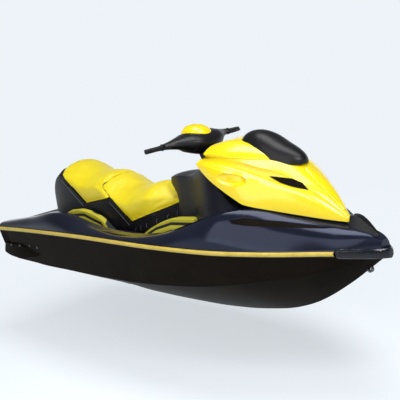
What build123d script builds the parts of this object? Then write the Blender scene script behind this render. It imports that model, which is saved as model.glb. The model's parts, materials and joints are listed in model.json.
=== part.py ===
"""Sit-down personal watercraft: hull, deck, lifting hood, lift-off seat, handlebar and jet drive.

Millimetres. +X is the bow, +Y is port, +Z is up. The origin lies on the waterline, amidships.
"""

import os
from math import cos, radians, sin

from build123d import *

os.makedirs("parts", exist_ok=True)

# Fits shared by the pieces
SEAM = 0.3  # gap between pieces that seat on each other
PIN_GAP = 0.05  # radial clearance of a pin in its ear
RUN_GAP = 6  # clearance of moving pieces from their neighbours
LAP = 1  # overlap that keeps one cut from ending on another's face
WALL = 20  # moulded wall of deck and hull
CUT_REACH = 800  # how far the cutting prisms reach past the craft

# Sheer: the line, seen from the side, where deck and hull are bonded
SHEER_END_X = 1545
SHEER_STERN_Z = 188
SHEER_MID_Z = 258
SHEER_BOW_Z = 218

# Body sections from stern to bow. Columns: station x, keel z, chine half width and z,
# rail half width, deck rim half width and z
BODY_SECTIONS = [
    (-1495, -270, 455, -30, 505, 458, 228),
    (-1100, -270, 465, -30, 525, 462, 254),
    (-760, -270, 470, -28, 538, 462, 350),
    (-400, -270, 472, -22, 545, 468, 298),
    (-50, -270, 468, -12, 549, 474, 276),
    (300, -257, 444, 8, 534, 462, 318),
    (690, -208, 390, 48, 468, 372, 440),
    (850, -164, 338, 72, 410, 262, 452),
    (1030, -80, 256, 100, 322, 168, 408),
    (1250, 60, 130, 146, 184, 66, 350),
    (1400, 170, 56, 186, 92, 38, 318),
    (1480, 218, 18, 206, 34, 16, 290),
]
CHINE_FLAT = 34  # width of the flat along the chine, where the chine is FULL_CHINE wide
FULL_CHINE = 470
FORM_LAP = 60  # how far hull and deck forms run past the sheer before it trims them
DECK_CROWN = 0.13  # rise of the deck side's arc over its chord
DECK_FLANGE = 9  # upright edge of the deck above the sheer, under the rail

# Long groove in each side of the foredeck, seen from the side
GROOVE_OUTLINE = [
    (768, 417),
    (832, 425),
    (1017, 393),
    (1264, 343),
    (1200, 347),
    (1034, 367),
    (853, 387),
    (789, 398),
]
GROOVE_DEPTH = 7
GROOVE_INNER_Y = 40

# Rub rail on the bonded seam and the bumper on the bow
RAIL_HEIGHT = 34
RAIL_PROUD = 17
RAIL_EASE = 7
RAIL_BOW_X = 1300
BUMPER_TIP_X = 1512
BUMPER_TIP_HALF = 16
BUMPER_HEIGHT = 50
BUMPER_PROUD = 20
BUMPER_EASE = 14

# Footwells, seat platform and engine bay in the deck
WELL_HALF = 415
PEDESTAL_HALF = 225
PLATFORM_Z = 205
FLOOR_Z = 128
WELL_AFT_X = -1130
WELL_FLOOR_AFT_X = -980
WELL_FLOOR_FORE_X = 190
WELL_TOE_X = 400
TOE_RAKE = 40
TUB_AFT_X = -1440
BAY_AFT_X = -700
BAY_FORE_X = 0
BAY_HALF = 188
BILGE_AFT_X = -740
BILGE_FORE_X = 180
BILGE_FLOOR_HALF = 200
BILGE_FLOOR_Z = -130
BILGE_HALF = 280
BILGE_KNEE_Z = -40
ENGINE_LENGTH = 640
ENGINE_WIDTH = 340
ENGINE_HEIGHT = 320
ENGINE_AFT_X = -660
# Cheeks of the deck between seat and footwell. Columns: station x and top z
CHEEK_RUNS = [
    [(-1080, 212), (-960, 288), (-760, 312), (-570, 268), (-430, 140)],
    [(-230, 140), (-120, 228), (0, 288), (150, 333), (372, 350)],
]
CHEEK_INNER = 213
CHEEK_SHOULDER = 250
CHEEK_FOOT = 290
CHEEK_FALL = 6
MAT_THICK = 6
MAT_MARGIN = 12
STERN_MAT_AFT_X = -1485

# Storage bin under the hood
BIN_AFT_X = 812
BIN_LENGTH = 220
BIN_HALF = 105
BIN_FLOOR_Z = 305
BIN_WALL = 5

# Stern overhang, the recess under it, and the tunnel of the jet drive
TRANSOM_X = -1400
OVERHANG_Z = -12
OVERHANG_EASE = 60
JET_Z = -140
RECESS_HALF = 150
RECESS_ROOF_Z = 45
RECESS_FORE_X = -1330
TUNNEL_R = 112
TUNNEL_FORE_X = -1150
INTAKE_ROOF_X = -960
INTAKE_FORE_X = -600
PLATE_THICK = 14
GRATE_FORE_X = -720
GRATE_BAR_Y = [-60, -30, 0, 30, 60]
GRATE_BAR_WIDTH = 9
GRATE_BAR_HEIGHT = 16

# Pump, impeller, steering nozzle and reverse gate
PUMP_BORE_R = 84
PUMP_WALL = 11
PUMP_AFT_X = -1340
VENTURI_NECK_X = -1390
VENTURI_END_X = -1442
VENTURI_R = 48
VENTURI_WALL = 8
FLANGE_THICK = 12
FLANGE_R = 100
BULLET_R = 36
STATOR_VANES = 6
VANE_THICK = 5
IMPELLER_HUB_R = 34
IMPELLER_LENGTH = 66
IMPELLER_BLADES = 4
# Blade columns: radius, chord, pitch angle and thickness
BLADE_SECTIONS = [
    (24, 58, 36, 7),
    (86, 92, 60, 4),
]
SHAFT_R = 14
SHAFT_FORE_X = -785
NOZZLE_PIVOT_X = -1430
NOZZLE_FORE_X = -1420
NOZZLE_AFT_X = -1498
NOZZLE_FORE_R = 70
NOZZLE_AFT_R = 54
NOZZLE_WALL = 8
EAR_THICK = 9
EAR_HALF = 14
NOZZLE_PIN_R = 6
GATE_PIVOT_X = -1368
GATE_PIN_R = 8
GATE_R = 154
GATE_WALL = 7
GATE_HALF = 106
GATE_LOW_DEG = 28
GATE_HIGH_DEG = 84
GATE_EYE_R = 17

# Console between seat and hood. Columns: station x, foot half width and z, top half width and z
CONSOLE_SECTIONS = [
    (-40, 84, 205, 60, 548),
    (40, 128, 205, 96, 566),
    (150, 196, 205, 128, 574),
    (290, 236, 205, 168, 602),
    (425, 292, 205, 222, 646),
    (600, 352, 290, 258, 556),
    (740, 318, 380, 262, 490),
]
CONSOLE_CROWN = 12

# Lower edge of the hood, seen from the side: rear tip, knee and nose
HOOD_TIP = (425, 668)
HOOD_KNEE = (787, 477)
HOOD_NOSE = (1283, 356)
HOOD_LAP = 24  # how far the hood's form runs below that edge before it trims it
HOOD_GAP = 10  # between the hood's edge and what lies below

# Hood. Columns: station x, lower edge half width, crease half width and z, step in above the
# crease, brow half width and z, crown z
HOOD_SECTIONS = [
    (425, 252, 242, 682, 2, 216, 694, 704),
    (560, 284, 266, 662, 10, 206, 706, 736),
    (720, 286, 252, 630, 20, 194, 690, 732),
    (820, 272, 228, 602, 20, 178, 664, 714),
    (940, 208, 190, 560, 16, 138, 630, 682),
    (1080, 132, 122, 504, 9, 86, 552, 582),
    (1180, 76, 68, 440, 4, 46, 466, 490),
    (1276, 12, 10, 368, 1, 8, 374, 380),
]
# Ridge down the front of the hood. Columns: station x, half width and top z
RIDGE_SECTIONS = [
    (1022, 22, 634),
    (1090, 36, 588),
    (1180, 28, 504),
    (1246, 10, 424),
]
RIDGE_DEPTH = 30
RIDGE_EASE = 8
HOOD_WALL = 14
HOOD_CROWN = 0.07
HINGE_X = 1300
HINGE_Z = 388
HINGE_PIN_R = 5
KNUCKLE_R = 10
KNUCKLE_HALF = 10

# Upper hood with winglets. Columns: station x, wing tip half width and z, top half width and z,
# underside half width and z
WING_SECTIONS = [
    (462, 224, 728, 132, 766, 196, 704),
    (550, 218, 722, 116, 782, 196, 694),
    (660, 196, 710, 100, 774, 182, 680),
    (770, 156, 700, 90, 746, 146, 662),
    (860, 104, 686, 70, 708, 98, 646),
]
MIRROR_THICK = 4
MIRROR_WIDTH = 62
MIRROR_HEIGHT = 18
MIRROR_Y = 168
MIRROR_Z = 727

# Visor over the hood. Columns: station x, half width, foot z and crown z
VISOR_SECTIONS = [
    (602, 62, 768, 800),
    (690, 94, 746, 828),
    (780, 108, 716, 812),
    (870, 104, 684, 768),
    (960, 74, 650, 728),
    (1014, 20, 622, 690),
]

# Side vents in the hood, seen from the side
VENT_OUTLINE = [(898, 612), (1013, 594), (1060, 568), (1092, 530), (1023, 552), (962, 576)]
VENT_DEPTH = 5
VENT_INNER_Y = 40

# Seat. Columns: station x, half width, shoulder z and crown z
SEAT_SECTIONS = [
    (-1268, 140, 236, 262),
    (-1224, 166, 384, 436),
    (-1170, 184, 470, 540),
    (-1080, 198, 524, 600),
    (-940, 200, 484, 564),
    (-780, 196, 450, 532),
    (-660, 200, 456, 541),
    (-560, 206, 420, 512),
    (-420, 204, 374, 464),
    (-280, 194, 392, 472),
    (-140, 172, 424, 490),
    (96, 122, 452, 520),
]
# Seams of the two cushions and the seat's front edge, seen from the side
DRIVER_TOE = (93, 409)
FRONT_KNEE = (62, 452)
FRONT_TOP = (-50, 499)
DRIVER_HEEL = (-334, 256)
CUSHION_MEET = (-522, 400)
CUSHION_SPLIT = (-640, 470)
SPLIT_TOP = (-600, 560)
PASSENGER_HEEL = (-820, 344)
PASSENGER_BACK = (-1110, 556)
SEAM_TOP_Z = 700
HANDLE_Z = 246
HANDLE_THICK = 20
HANDLE_REACH = 54
HANDLE_HALF = 104
HANDLE_BAR = 22

# Handlebar on its tilted column. Cover columns: y, centre x and z, half length and half height
STEER_X = 262
STEER_Z = 592
STEER_TILT = 25
COLUMN_R = 26
COLUMN_LENGTH = 150
SOCKET_DEPTH = 36
COVER_SECTIONS = [
    (-256, 166, 766, 24, 17),
    (-150, 180, 758, 72, 40),
    (0, 196, 744, 128, 68),
    (150, 180, 758, 72, 40),
    (256, 166, 766, 24, 17),
]
# Cap columns: z, centre x, half length and half width
CAP_SECTIONS = [
    (786, 190, 116, 92),
    (826, 180, 96, 74),
    (856, 164, 44, 32),
]
BAR_R = 10
BAR_END = (146, 372, 760)
BAR_BEND = (169, 242, 766)
BAR_BEND_R = 60
GRIP_R = 14
GRIP_LENGTH = 112
GRIP_COLLAR_R = 20
GRIP_COLLAR = 6
LEVER_OUTLINE = [
    (184, 226),
    (216, 230),
    (208, 300),
    (188, 352),
    (181, 349),
    (197, 298),
    (202, 250),
    (184, 246),
]
LEVER_THICK = 10

# Gauge cluster on the console, seen from the side
GAUGE_OUTLINE = [(330, 590), (414, 620), (416, 668), (398, 690), (340, 640)]
GAUGE_HALF = 82

# Nose cover in front of the hood. Columns: station x, foot half width, top half width and z
NOSE_SECTIONS = [
    (1292, 54, 24, 397),
    (1345, 48, 22, 388),
    (1400, 36, 14, 350),
    (1446, 22, 6, 310),
]
NOSE_FOOT_Z = 292

# Towing eyes and sponsons. Sponson columns: station x, inner y, proud of it, low z and high z
BOW_EYE_X = 1372
BOW_EYE_Z = 120
STERN_EYE_X = -1513
STERN_EYE_Y = 330
STERN_EYE_Z = 92
EYE_R = 20
EYE_HOLE_R = 9
EYE_HALF = 7
EYE_SHANK = 45
BOW_EYE_LEAN = 126
SPONSON_LIP = 12
SPONSON_SECTIONS = [
    (-1485, 452, 40, 4, 78),
    (-1120, 458, 44, 6, 78),
    (-1020, 458, 26, 30, 62),
]


def station(x):
    """Cross-section plane at x: its first axis is Y and its second Z."""
    return Plane.YZ.offset(x)


def buttock(y):
    """Side-view plane at y: its first axis is X and its second Z."""
    return Plane.XZ.offset(-y)


def sheer_z(x):
    """Height of the sheer at station x."""
    slope = (SHEER_BOW_Z - SHEER_STERN_Z) / (2 * SHEER_END_X)
    droop = SHEER_MID_Z - (SHEER_BOW_Z + SHEER_STERN_Z) / 2
    return SHEER_MID_Z + slope * x - droop * (x / SHEER_END_X) ** 2


def mirrored(half):
    """A half outline from the centre line outwards, closed by its mirror image."""
    return half + [(-y, z) for y, z in reversed(half) if y > 0]


def side_prism(outline, half=CUT_REACH):
    """A solid across the craft with this outline in side view."""
    with BuildPart() as prism:
        with BuildSketch(Plane.XZ):
            Polygon(*outline, align=None)
        extrude(amount=half, both=True)
    return prism.part


def sheer_prism(edge_z, lift=0):
    """Everything between the sheer, raised by lift, and the level edge_z."""
    with BuildPart() as prism:
        with BuildSketch(Plane.XZ):
            with BuildLine():
                arc = ThreePointArc(
                    (-SHEER_END_X, SHEER_STERN_Z + lift),
                    (0, SHEER_MID_Z + lift),
                    (SHEER_END_X, SHEER_BOW_Z + lift),
                )
                Polyline(arc @ 1, (SHEER_END_X, edge_z), (-SHEER_END_X, edge_z), arc @ 0)
            make_face()
        extrude(amount=CUT_REACH, both=True)
    return prism.part


def bulged(start, end, rise):
    """The middle point of an arc from start to end that stands out by rise times its chord."""
    chord = Vector(*end) - Vector(*start)
    crest = (Vector(*start) + Vector(*end)) / 2 + Vector(chord.Y, -chord.X) * rise
    return (crest.X, crest.Y)


def finish(piece, label):
    """Label a finished piece and write it."""
    piece.part.label = label
    export_step(piece.part, f"parts/{label}.step")
    print(label, len(piece.part.solids()), round(piece.part.volume / 1e3), piece.part.is_valid)


def hood_edge_z(x):
    """Height of the hood's lower edge at station x."""
    (x0, z0), (x1, z1) = (HOOD_TIP, HOOD_KNEE) if x < HOOD_KNEE[0] else (HOOD_KNEE, HOOD_NOSE)
    return z0 + (z1 - z0) * (x - x0) / (x1 - x0)


def above_hood_edge(drop):
    """Everything above the hood's lower edge, lowered by drop."""
    tip_x = HOOD_TIP[0] - drop
    edge = [(tip_x, hood_edge_z(tip_x)), HOOD_KNEE, HOOD_NOSE]
    corners = [(HOOD_NOSE[0], 2 * CUT_REACH), (tip_x, 2 * CUT_REACH)]
    return side_prism([(x, z - drop) for x, z in edge] + corners)


def beyond_seat(gap):
    """Everything ahead of the seat's front edge and over it, drawn back by gap."""
    edge = [(DRIVER_TOE[0], -CUT_REACH), DRIVER_TOE, FRONT_KNEE, FRONT_TOP, (FRONT_TOP[0], CUT_REACH)]
    corners = [(2 * CUT_REACH, CUT_REACH), (2 * CUT_REACH, -CUT_REACH)]
    return side_prism([(x + gap, z + gap) for x, z in edge] + corners)


below_sheer = sheer_prism(-CUT_REACH)
above_sheer = sheer_prism(CUT_REACH)
keel_z = BODY_SECTIONS[0][1]
bottom_slope = (BODY_SECTIONS[1][3] - keel_z) / (BODY_SECTIONS[1][2] - CHINE_FLAT)
tub_half = WELL_HALF + WALL
tub_bottom = FLOOR_Z - WALL
tub_fore_x = WELL_TOE_X + WALL

# Hull form: a deep V with a flat along the chine and flared sides
with BuildPart() as hull_form:
    for x, z_keel, chine_y, chine_z, rail_y, rim_y, rim_z in BODY_SECTIONS:
        flat = CHINE_FLAT * chine_y / FULL_CHINE
        flare = (rail_y - chine_y) / (sheer_z(x) - chine_z)
        top = (rail_y + flare * FORM_LAP, sheer_z(x) + FORM_LAP)
        with BuildSketch(station(x)):
            Polygon(*mirrored([(0, z_keel), (chine_y - flat, chine_z), (chine_y, chine_z), top]), align=None)
    loft()


def deck_loft(inset):
    """The deck's form: sides that arc from the rail to the rim, level on top, drawn in by inset."""
    with BuildPart() as form:
        for x, z_keel, chine_y, chine_z, rail_y, rim_y, rim_z in BODY_SECTIONS:
            rail_z = sheer_z(x) + DECK_FLANGE
            rail = (rail_y - inset, rail_z)
            rim = (rim_y - inset, rim_z - inset)
            crest_y, crest_z = bulged(rail, rim, DECK_CROWN)
            with BuildSketch(station(x)):
                with BuildLine():
                    Line((-rail[0], rail_z - FORM_LAP), (rail[0], rail_z - FORM_LAP))
                    Line((rail[0], rail_z - FORM_LAP), rail)
                    ThreePointArc(rail, (crest_y, crest_z), rim)
                    Line(rim, (-rim[0], rim[1]))
                    ThreePointArc((-rim[0], rim[1]), (-crest_y, crest_z), (-rail[0], rail_z))
                    Line((-rail[0], rail_z), (-rail[0], rail_z - FORM_LAP))
                make_face()
        loft()
    return form.part


def cheek_loft(side, run, inner, grow):
    """A cheek beside the seat from its inner face outwards, its other faces moved out by grow."""
    with BuildPart() as form:
        for x, top_z in run:
            with BuildSketch(station(x)):
                Polygon(
                    (side * inner, FLOOR_Z - LAP),
                    (side * (CHEEK_FOOT + grow), FLOOR_Z - LAP),
                    (side * (CHEEK_SHOULDER + grow), top_z - CHEEK_FALL + grow),
                    (side * inner, top_z + grow),
                    align=None,
                )
        loft()
    return form.part


deck_form = deck_loft(0)

# Hull: trimmed at the sheer, stepped at the stern, with the jet tunnel and the bilge cut out
with BuildPart() as hull:
    add(hull_form.part)
    add(below_sheer, mode=Mode.INTERSECT)
    step = [
        (-2 * CUT_REACH, OVERHANG_Z),
        (TRANSOM_X - OVERHANG_EASE, OVERHANG_Z),
        (TRANSOM_X, OVERHANG_Z - OVERHANG_EASE),
        (TRANSOM_X, -CUT_REACH),
        (-2 * CUT_REACH, -CUT_REACH),
    ]
    add(side_prism(step), mode=Mode.SUBTRACT)
    with BuildSketch(station(RECESS_FORE_X)):
        with Locations((0, RECESS_ROOF_Z)):
            Rectangle(2 * RECESS_HALF, CUT_REACH, align=(Align.CENTER, Align.MAX))
    extrude(amount=-CUT_REACH, mode=Mode.SUBTRACT)
    with BuildSketch(station(TUNNEL_FORE_X)):
        with Locations((0, JET_Z)):
            Circle(TUNNEL_R)
            Rectangle(2 * TUNNEL_R, CUT_REACH, align=(Align.CENTER, Align.MAX))
    extrude(amount=RECESS_FORE_X - TUNNEL_FORE_X - LAP, mode=Mode.SUBTRACT)
    duct = [
        (TUNNEL_FORE_X - LAP, JET_Z + PUMP_BORE_R),
        (INTAKE_ROOF_X, JET_Z + PUMP_BORE_R),
        (INTAKE_FORE_X, keel_z),
        (INTAKE_FORE_X, -CUT_REACH),
        (TUNNEL_FORE_X - LAP, -CUT_REACH),
    ]
    add(side_prism(duct, PUMP_BORE_R), mode=Mode.SUBTRACT)
    with BuildSketch(station(SHAFT_FORE_X)):
        with Locations((0, JET_Z)):
            Circle(SHAFT_R + PIN_GAP)
    extrude(amount=INTAKE_ROOF_X - SHAFT_FORE_X, mode=Mode.SUBTRACT)
    with BuildSketch(Plane.XY.offset(tub_bottom - SEAM)):
        with Locations((TUB_AFT_X - SEAM, 0)):
            Rectangle(
                tub_fore_x - TUB_AFT_X + 2 * SEAM,
                2 * (tub_half + SEAM),
                align=(Align.MIN, Align.CENTER),
            )
    extrude(amount=CUT_REACH, mode=Mode.SUBTRACT)
    with BuildSketch(station(BILGE_AFT_X)):
        Polygon(
            *mirrored(
                [
                    (BILGE_FLOOR_HALF, BILGE_FLOOR_Z),
                    (BILGE_HALF, BILGE_KNEE_Z),
                    (BILGE_HALF, tub_bottom),
                ]
            ),
            align=None,
        )
    extrude(amount=BILGE_FORE_X - BILGE_AFT_X, mode=Mode.SUBTRACT)
finish(hull, "hull")

# Tub: the part of the deck moulding that hangs below the sheer, inside the hull
with BuildPart() as tub:
    with BuildSketch(Plane.XY.offset(tub_bottom)):
        with Locations((TUB_AFT_X, 0)):
            Rectangle(tub_fore_x - TUB_AFT_X, 2 * tub_half, align=(Align.MIN, Align.CENTER))
    extrude(amount=CUT_REACH)
    add(sheer_prism(-CUT_REACH, WALL / 2), mode=Mode.INTERSECT)

# Grooves: what lies between the deck's skin and the same skin drawn in
with BuildPart() as grooves:
    for side in (-1, 1):
        with BuildSketch(buttock(side * GROOVE_INNER_Y)):
            Polygon(*GROOVE_OUTLINE, align=None)
        extrude(amount=-side * CUT_REACH)
    add(deck_loft(GROOVE_DEPTH), mode=Mode.SUBTRACT)

# Deck: one moulding with the footwells, seat platform, cheeks, engine opening and bin pocket
with BuildPart() as deck:
    add(deck_form)
    add(above_sheer, mode=Mode.INTERSECT)
    add(tub.part)
    platform = [
        (-2 * CUT_REACH, PLATFORM_Z),
        (WELL_TOE_X - TOE_RAKE, PLATFORM_Z),
        (WELL_TOE_X, CUT_REACH),
        (-2 * CUT_REACH, CUT_REACH),
    ]
    add(side_prism(platform, WELL_HALF), mode=Mode.SUBTRACT)
    for side in (-1, 1):
        with BuildSketch(buttock(side * PEDESTAL_HALF)):
            Polygon(
                (WELL_AFT_X, PLATFORM_Z + LAP),
                (WELL_FLOOR_AFT_X, FLOOR_Z),
                (WELL_FLOOR_FORE_X, FLOOR_Z),
                (WELL_TOE_X - TOE_RAKE, PLATFORM_Z + LAP),
                align=None,
            )
        extrude(amount=-side * (WELL_HALF - PEDESTAL_HALF), mode=Mode.SUBTRACT)
    with BuildSketch(Plane.XY.offset(PLATFORM_Z + LAP)):
        with Locations(((BAY_AFT_X + BAY_FORE_X) / 2, 0)):
            Rectangle(BAY_FORE_X - BAY_AFT_X, 2 * BAY_HALF)
    extrude(amount=-CUT_REACH, mode=Mode.SUBTRACT)
    with BuildSketch(Plane.XY.offset(BIN_FLOOR_Z - BIN_WALL)):
        with Locations((BIN_AFT_X - BIN_WALL, 0)):
            Rectangle(
                BIN_LENGTH + 2 * BIN_WALL, 2 * (BIN_HALF + BIN_WALL), align=(Align.MIN, Align.CENTER)
            )
    extrude(amount=CUT_REACH, mode=Mode.SUBTRACT)
    add(grooves.part, mode=Mode.SUBTRACT)
    for side in (-1, 1):
        for run in CHEEK_RUNS:
            add(cheek_loft(side, run, CHEEK_INNER, 0))
finish(deck, "deck")

# Rub rails over the bonded seam, from the stern to the bow bumper
with BuildPart() as rub_rails:
    for side in (-1, 1):
        for x, z_keel, chine_y, chine_z, rail_y, rim_y, rim_z in BODY_SECTIONS:
            inner, outer = rail_y + 2 * SEAM, rail_y + RAIL_PROUD
            low, high = sheer_z(x) - RAIL_HEIGHT / 2, sheer_z(x) + RAIL_HEIGHT / 2
            with BuildSketch(station(x)):
                Polygon(
                    (side * inner, low),
                    (side * (outer - RAIL_EASE), low),
                    (side * outer, low + RAIL_EASE),
                    (side * outer, high - RAIL_EASE),
                    (side * (outer - RAIL_EASE), high),
                    (side * inner, high),
                    align=None,
                )
        loft()
    with BuildSketch(station(RAIL_BOW_X)):
        Rectangle(2 * CUT_REACH, 2 * CUT_REACH)
    extrude(amount=CUT_REACH, mode=Mode.SUBTRACT)
finish(rub_rails, "rub_rails")

# Bow bumper: a moulding round the nose, which takes over from the rails
with BuildPart() as bow_bumper:
    bumper_stations = [(section[0], section[4] + BUMPER_PROUD) for section in BODY_SECTIONS[-4:]]
    for x, outer in bumper_stations + [(BUMPER_TIP_X, BUMPER_TIP_HALF)]:
        low, high = sheer_z(x) - BUMPER_HEIGHT / 2, sheer_z(x) + BUMPER_HEIGHT / 2
        inner = outer - BUMPER_EASE
        with BuildSketch(station(x)):
            corners = [(inner, low), (outer, low + BUMPER_EASE), (outer, high - BUMPER_EASE), (inner, high)]
            Polygon(*mirrored(corners), align=None)
    loft()
    with BuildSketch(station(RAIL_BOW_X + SEAM)):
        Rectangle(2 * CUT_REACH, 2 * CUT_REACH)
    extrude(amount=-CUT_REACH, mode=Mode.SUBTRACT)
    add(hull.part, mode=Mode.SUBTRACT)
    add(deck.part, mode=Mode.SUBTRACT)
finish(bow_bumper, "bow_bumper")

# Nose cover, with the pin and slot of the hood's hinge
with BuildPart() as nose_cover:
    for x, foot_y, top_y, top_z in NOSE_SECTIONS:
        with BuildSketch(station(x)):
            Polygon(*mirrored([(foot_y, NOSE_FOOT_Z), (top_y, top_z)]), align=None)
    loft()
    add(deck.part, mode=Mode.SUBTRACT)
    slot = [
        (HINGE_X - CUT_REACH, HINGE_Z - KNUCKLE_R - RUN_GAP),
        (HINGE_X + KNUCKLE_R + RUN_GAP, HINGE_Z - KNUCKLE_R - RUN_GAP),
        (HINGE_X + KNUCKLE_R + RUN_GAP, CUT_REACH),
        (HINGE_X - CUT_REACH, CUT_REACH),
    ]
    add(side_prism(slot, KNUCKLE_HALF + SEAM), mode=Mode.SUBTRACT)
    with BuildSketch(Plane.XZ):
        with Locations((HINGE_X, HINGE_Z)):
            Circle(HINGE_PIN_R)
    extrude(amount=KNUCKLE_HALF + RUN_GAP, both=True)
finish(nose_cover, "nose_cover")

# Engine: one plain block on the bilge floor
with BuildPart() as engine_block:
    with BuildSketch(Plane.XY.offset(BILGE_FLOOR_Z)):
        with Locations((ENGINE_AFT_X, 0)):
            Rectangle(ENGINE_LENGTH, ENGINE_WIDTH, align=(Align.MIN, Align.CENTER))
    extrude(amount=ENGINE_HEIGHT)
finish(engine_block, "engine_block")

# Storage bin: an open tub that fills the deck's pocket
with BuildPart() as storage_bin:
    with BuildSketch(Plane.XY.offset(BIN_FLOOR_Z - BIN_WALL)):
        with Locations((BIN_AFT_X - BIN_WALL + SEAM, 0)):
            Rectangle(
                BIN_LENGTH + 2 * (BIN_WALL - SEAM),
                2 * (BIN_HALF + BIN_WALL - SEAM),
                align=(Align.MIN, Align.CENTER),
            )
    extrude(amount=CUT_REACH)
    with BuildSketch(Plane.XY.offset(BIN_FLOOR_Z)):
        with Locations((BIN_AFT_X, 0)):
            Rectangle(BIN_LENGTH, 2 * BIN_HALF, align=(Align.MIN, Align.CENTER))
    extrude(amount=CUT_REACH, mode=Mode.SUBTRACT)
    add(deck_form, mode=Mode.INTERSECT)
finish(storage_bin, "storage_bin")

# Mat on the stern platform
seat_aft_x = SEAT_SECTIONS[0][0]
mat_fore_x = seat_aft_x - HANDLE_BAR
with BuildPart() as stern_mat:
    with BuildSketch(Plane.XY.offset(PLATFORM_Z)):
        with Locations((STERN_MAT_AFT_X, 0)):
            Rectangle(
                WELL_AFT_X - MAT_MARGIN - STERN_MAT_AFT_X,
                2 * (WELL_HALF - MAT_MARGIN),
                align=(Align.MIN, Align.CENTER),
            )
        with Locations((mat_fore_x, 0)):
            Rectangle(
                CUT_REACH,
                2 * PEDESTAL_HALF,
                align=(Align.MIN, Align.CENTER),
                mode=Mode.SUBTRACT,
            )
    extrude(amount=MAT_THICK)
finish(stern_mat, "stern_mat")

# Steering column: its lower end turns in a socket of the console
steer_plane = Plane(
    origin=(STEER_X, 0, STEER_Z),
    x_dir=(0, 1, 0),
    z_dir=(-sin(radians(STEER_TILT)), 0, cos(radians(STEER_TILT))),
)
with BuildPart() as steering_column:
    with BuildSketch(steer_plane.offset(-SOCKET_DEPTH)):
        Circle(COLUMN_R)
    extrude(amount=SOCKET_DEPTH + COLUMN_LENGTH)
finish(steering_column, "steering_column")

# Console: narrow at the seat, widening to the deck's shoulders under the hood
with BuildPart() as console:
    for x, foot_y, foot_z, top_y, top_z in CONSOLE_SECTIONS:
        with BuildSketch(station(x)):
            with BuildLine():
                Polyline(
                    (-top_y, top_z - CONSOLE_CROWN),
                    (-foot_y, foot_z),
                    (foot_y, foot_z),
                    (top_y, top_z - CONSOLE_CROWN),
                )
                ThreePointArc(
                    (top_y, top_z - CONSOLE_CROWN), (0, top_z), (-top_y, top_z - CONSOLE_CROWN)
                )
            make_face()
    loft()
    add(beyond_seat(RUN_GAP), mode=Mode.INTERSECT)
    add(above_hood_edge(HOOD_GAP), mode=Mode.SUBTRACT)
    under_deck = [
        (WELL_TOE_X, -CUT_REACH),
        (WELL_TOE_X, SHEER_MID_Z + DECK_FLANGE),
        (2 * CUT_REACH, SHEER_MID_Z + DECK_FLANGE),
        (2 * CUT_REACH, -CUT_REACH),
    ]
    add(side_prism(under_deck), mode=Mode.SUBTRACT)
    add(deck.part, mode=Mode.SUBTRACT)
    with BuildSketch(steer_plane.offset(-SOCKET_DEPTH)):
        Circle(COLUMN_R + PIN_GAP)
    extrude(amount=CUT_REACH, mode=Mode.SUBTRACT)
finish(console, "console")

# Mats on the footwell floors and over the cheeks
floor_mat_in = CHEEK_FOOT + MAT_THICK + MAT_MARGIN
floor_mat_out = WELL_HALF - MAT_MARGIN
with BuildPart() as footwell_mats:
    for side in (-1, 1):
        for run in CHEEK_RUNS:
            add(cheek_loft(side, run, CHEEK_INNER + MAT_MARGIN, MAT_THICK))
    add(deck.part, mode=Mode.SUBTRACT)
    add(console.part, mode=Mode.SUBTRACT)
    with BuildSketch(Plane.XY.offset(FLOOR_Z)):
        for side in (-1, 1):
            with Locations(
                ((WELL_FLOOR_AFT_X + WELL_FLOOR_FORE_X) / 2, side * (floor_mat_in + floor_mat_out) / 2)
            ):
                RectangleRounded(
                    WELL_FLOOR_FORE_X - WELL_FLOOR_AFT_X - 2 * MAT_MARGIN,
                    floor_mat_out - floor_mat_in,
                    2 * MAT_MARGIN,
                )
    extrude(amount=MAT_THICK)
finish(footwell_mats, "footwell_mats")

# Gauge cluster on the console, ahead of the handlebar
with BuildPart() as gauge_cluster:
    add(side_prism(GAUGE_OUTLINE, GAUGE_HALF))
    add(console.part, mode=Mode.SUBTRACT)
finish(gauge_cluster, "gauge_cluster")


def hood_loft(inset, sections):
    """The hood's form, drawn in by inset on every side but its open lower edge."""
    with BuildPart() as form:
        for x, edge_y, crease_y, crease_z, step, brow_y, brow_z, crown_z in sections:
            edge = (edge_y - inset, hood_edge_z(x) - HOOD_LAP)
            crease = (crease_y - inset, crease_z)
            ledge = (crease_y - inset - step, crease_z + step / 2)
            brow = (brow_y - inset, brow_z - inset)
            side_y, side_z = bulged(edge, crease, HOOD_CROWN)
            with BuildSketch(station(x)):
                with BuildLine():
                    Line((-edge[0], edge[1]), edge)
                    ThreePointArc(edge, (side_y, side_z), crease)
                    Polyline(crease, ledge, brow)
                    ThreePointArc(brow, (0, crown_z - inset), (-brow[0], brow[1]))
                    Polyline((-brow[0], brow[1]), (-ledge[0], ledge[1]), (-crease[0], crease[1]))
                    ThreePointArc((-crease[0], crease[1]), (-side_y, side_z), (-edge[0], edge[1]))
                make_face()
        loft()
    return form.part


hood_form = hood_loft(0, HOOD_SECTIONS)
hood_hollow = hood_loft(HOOD_WALL, HOOD_SECTIONS[1:-1])

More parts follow.
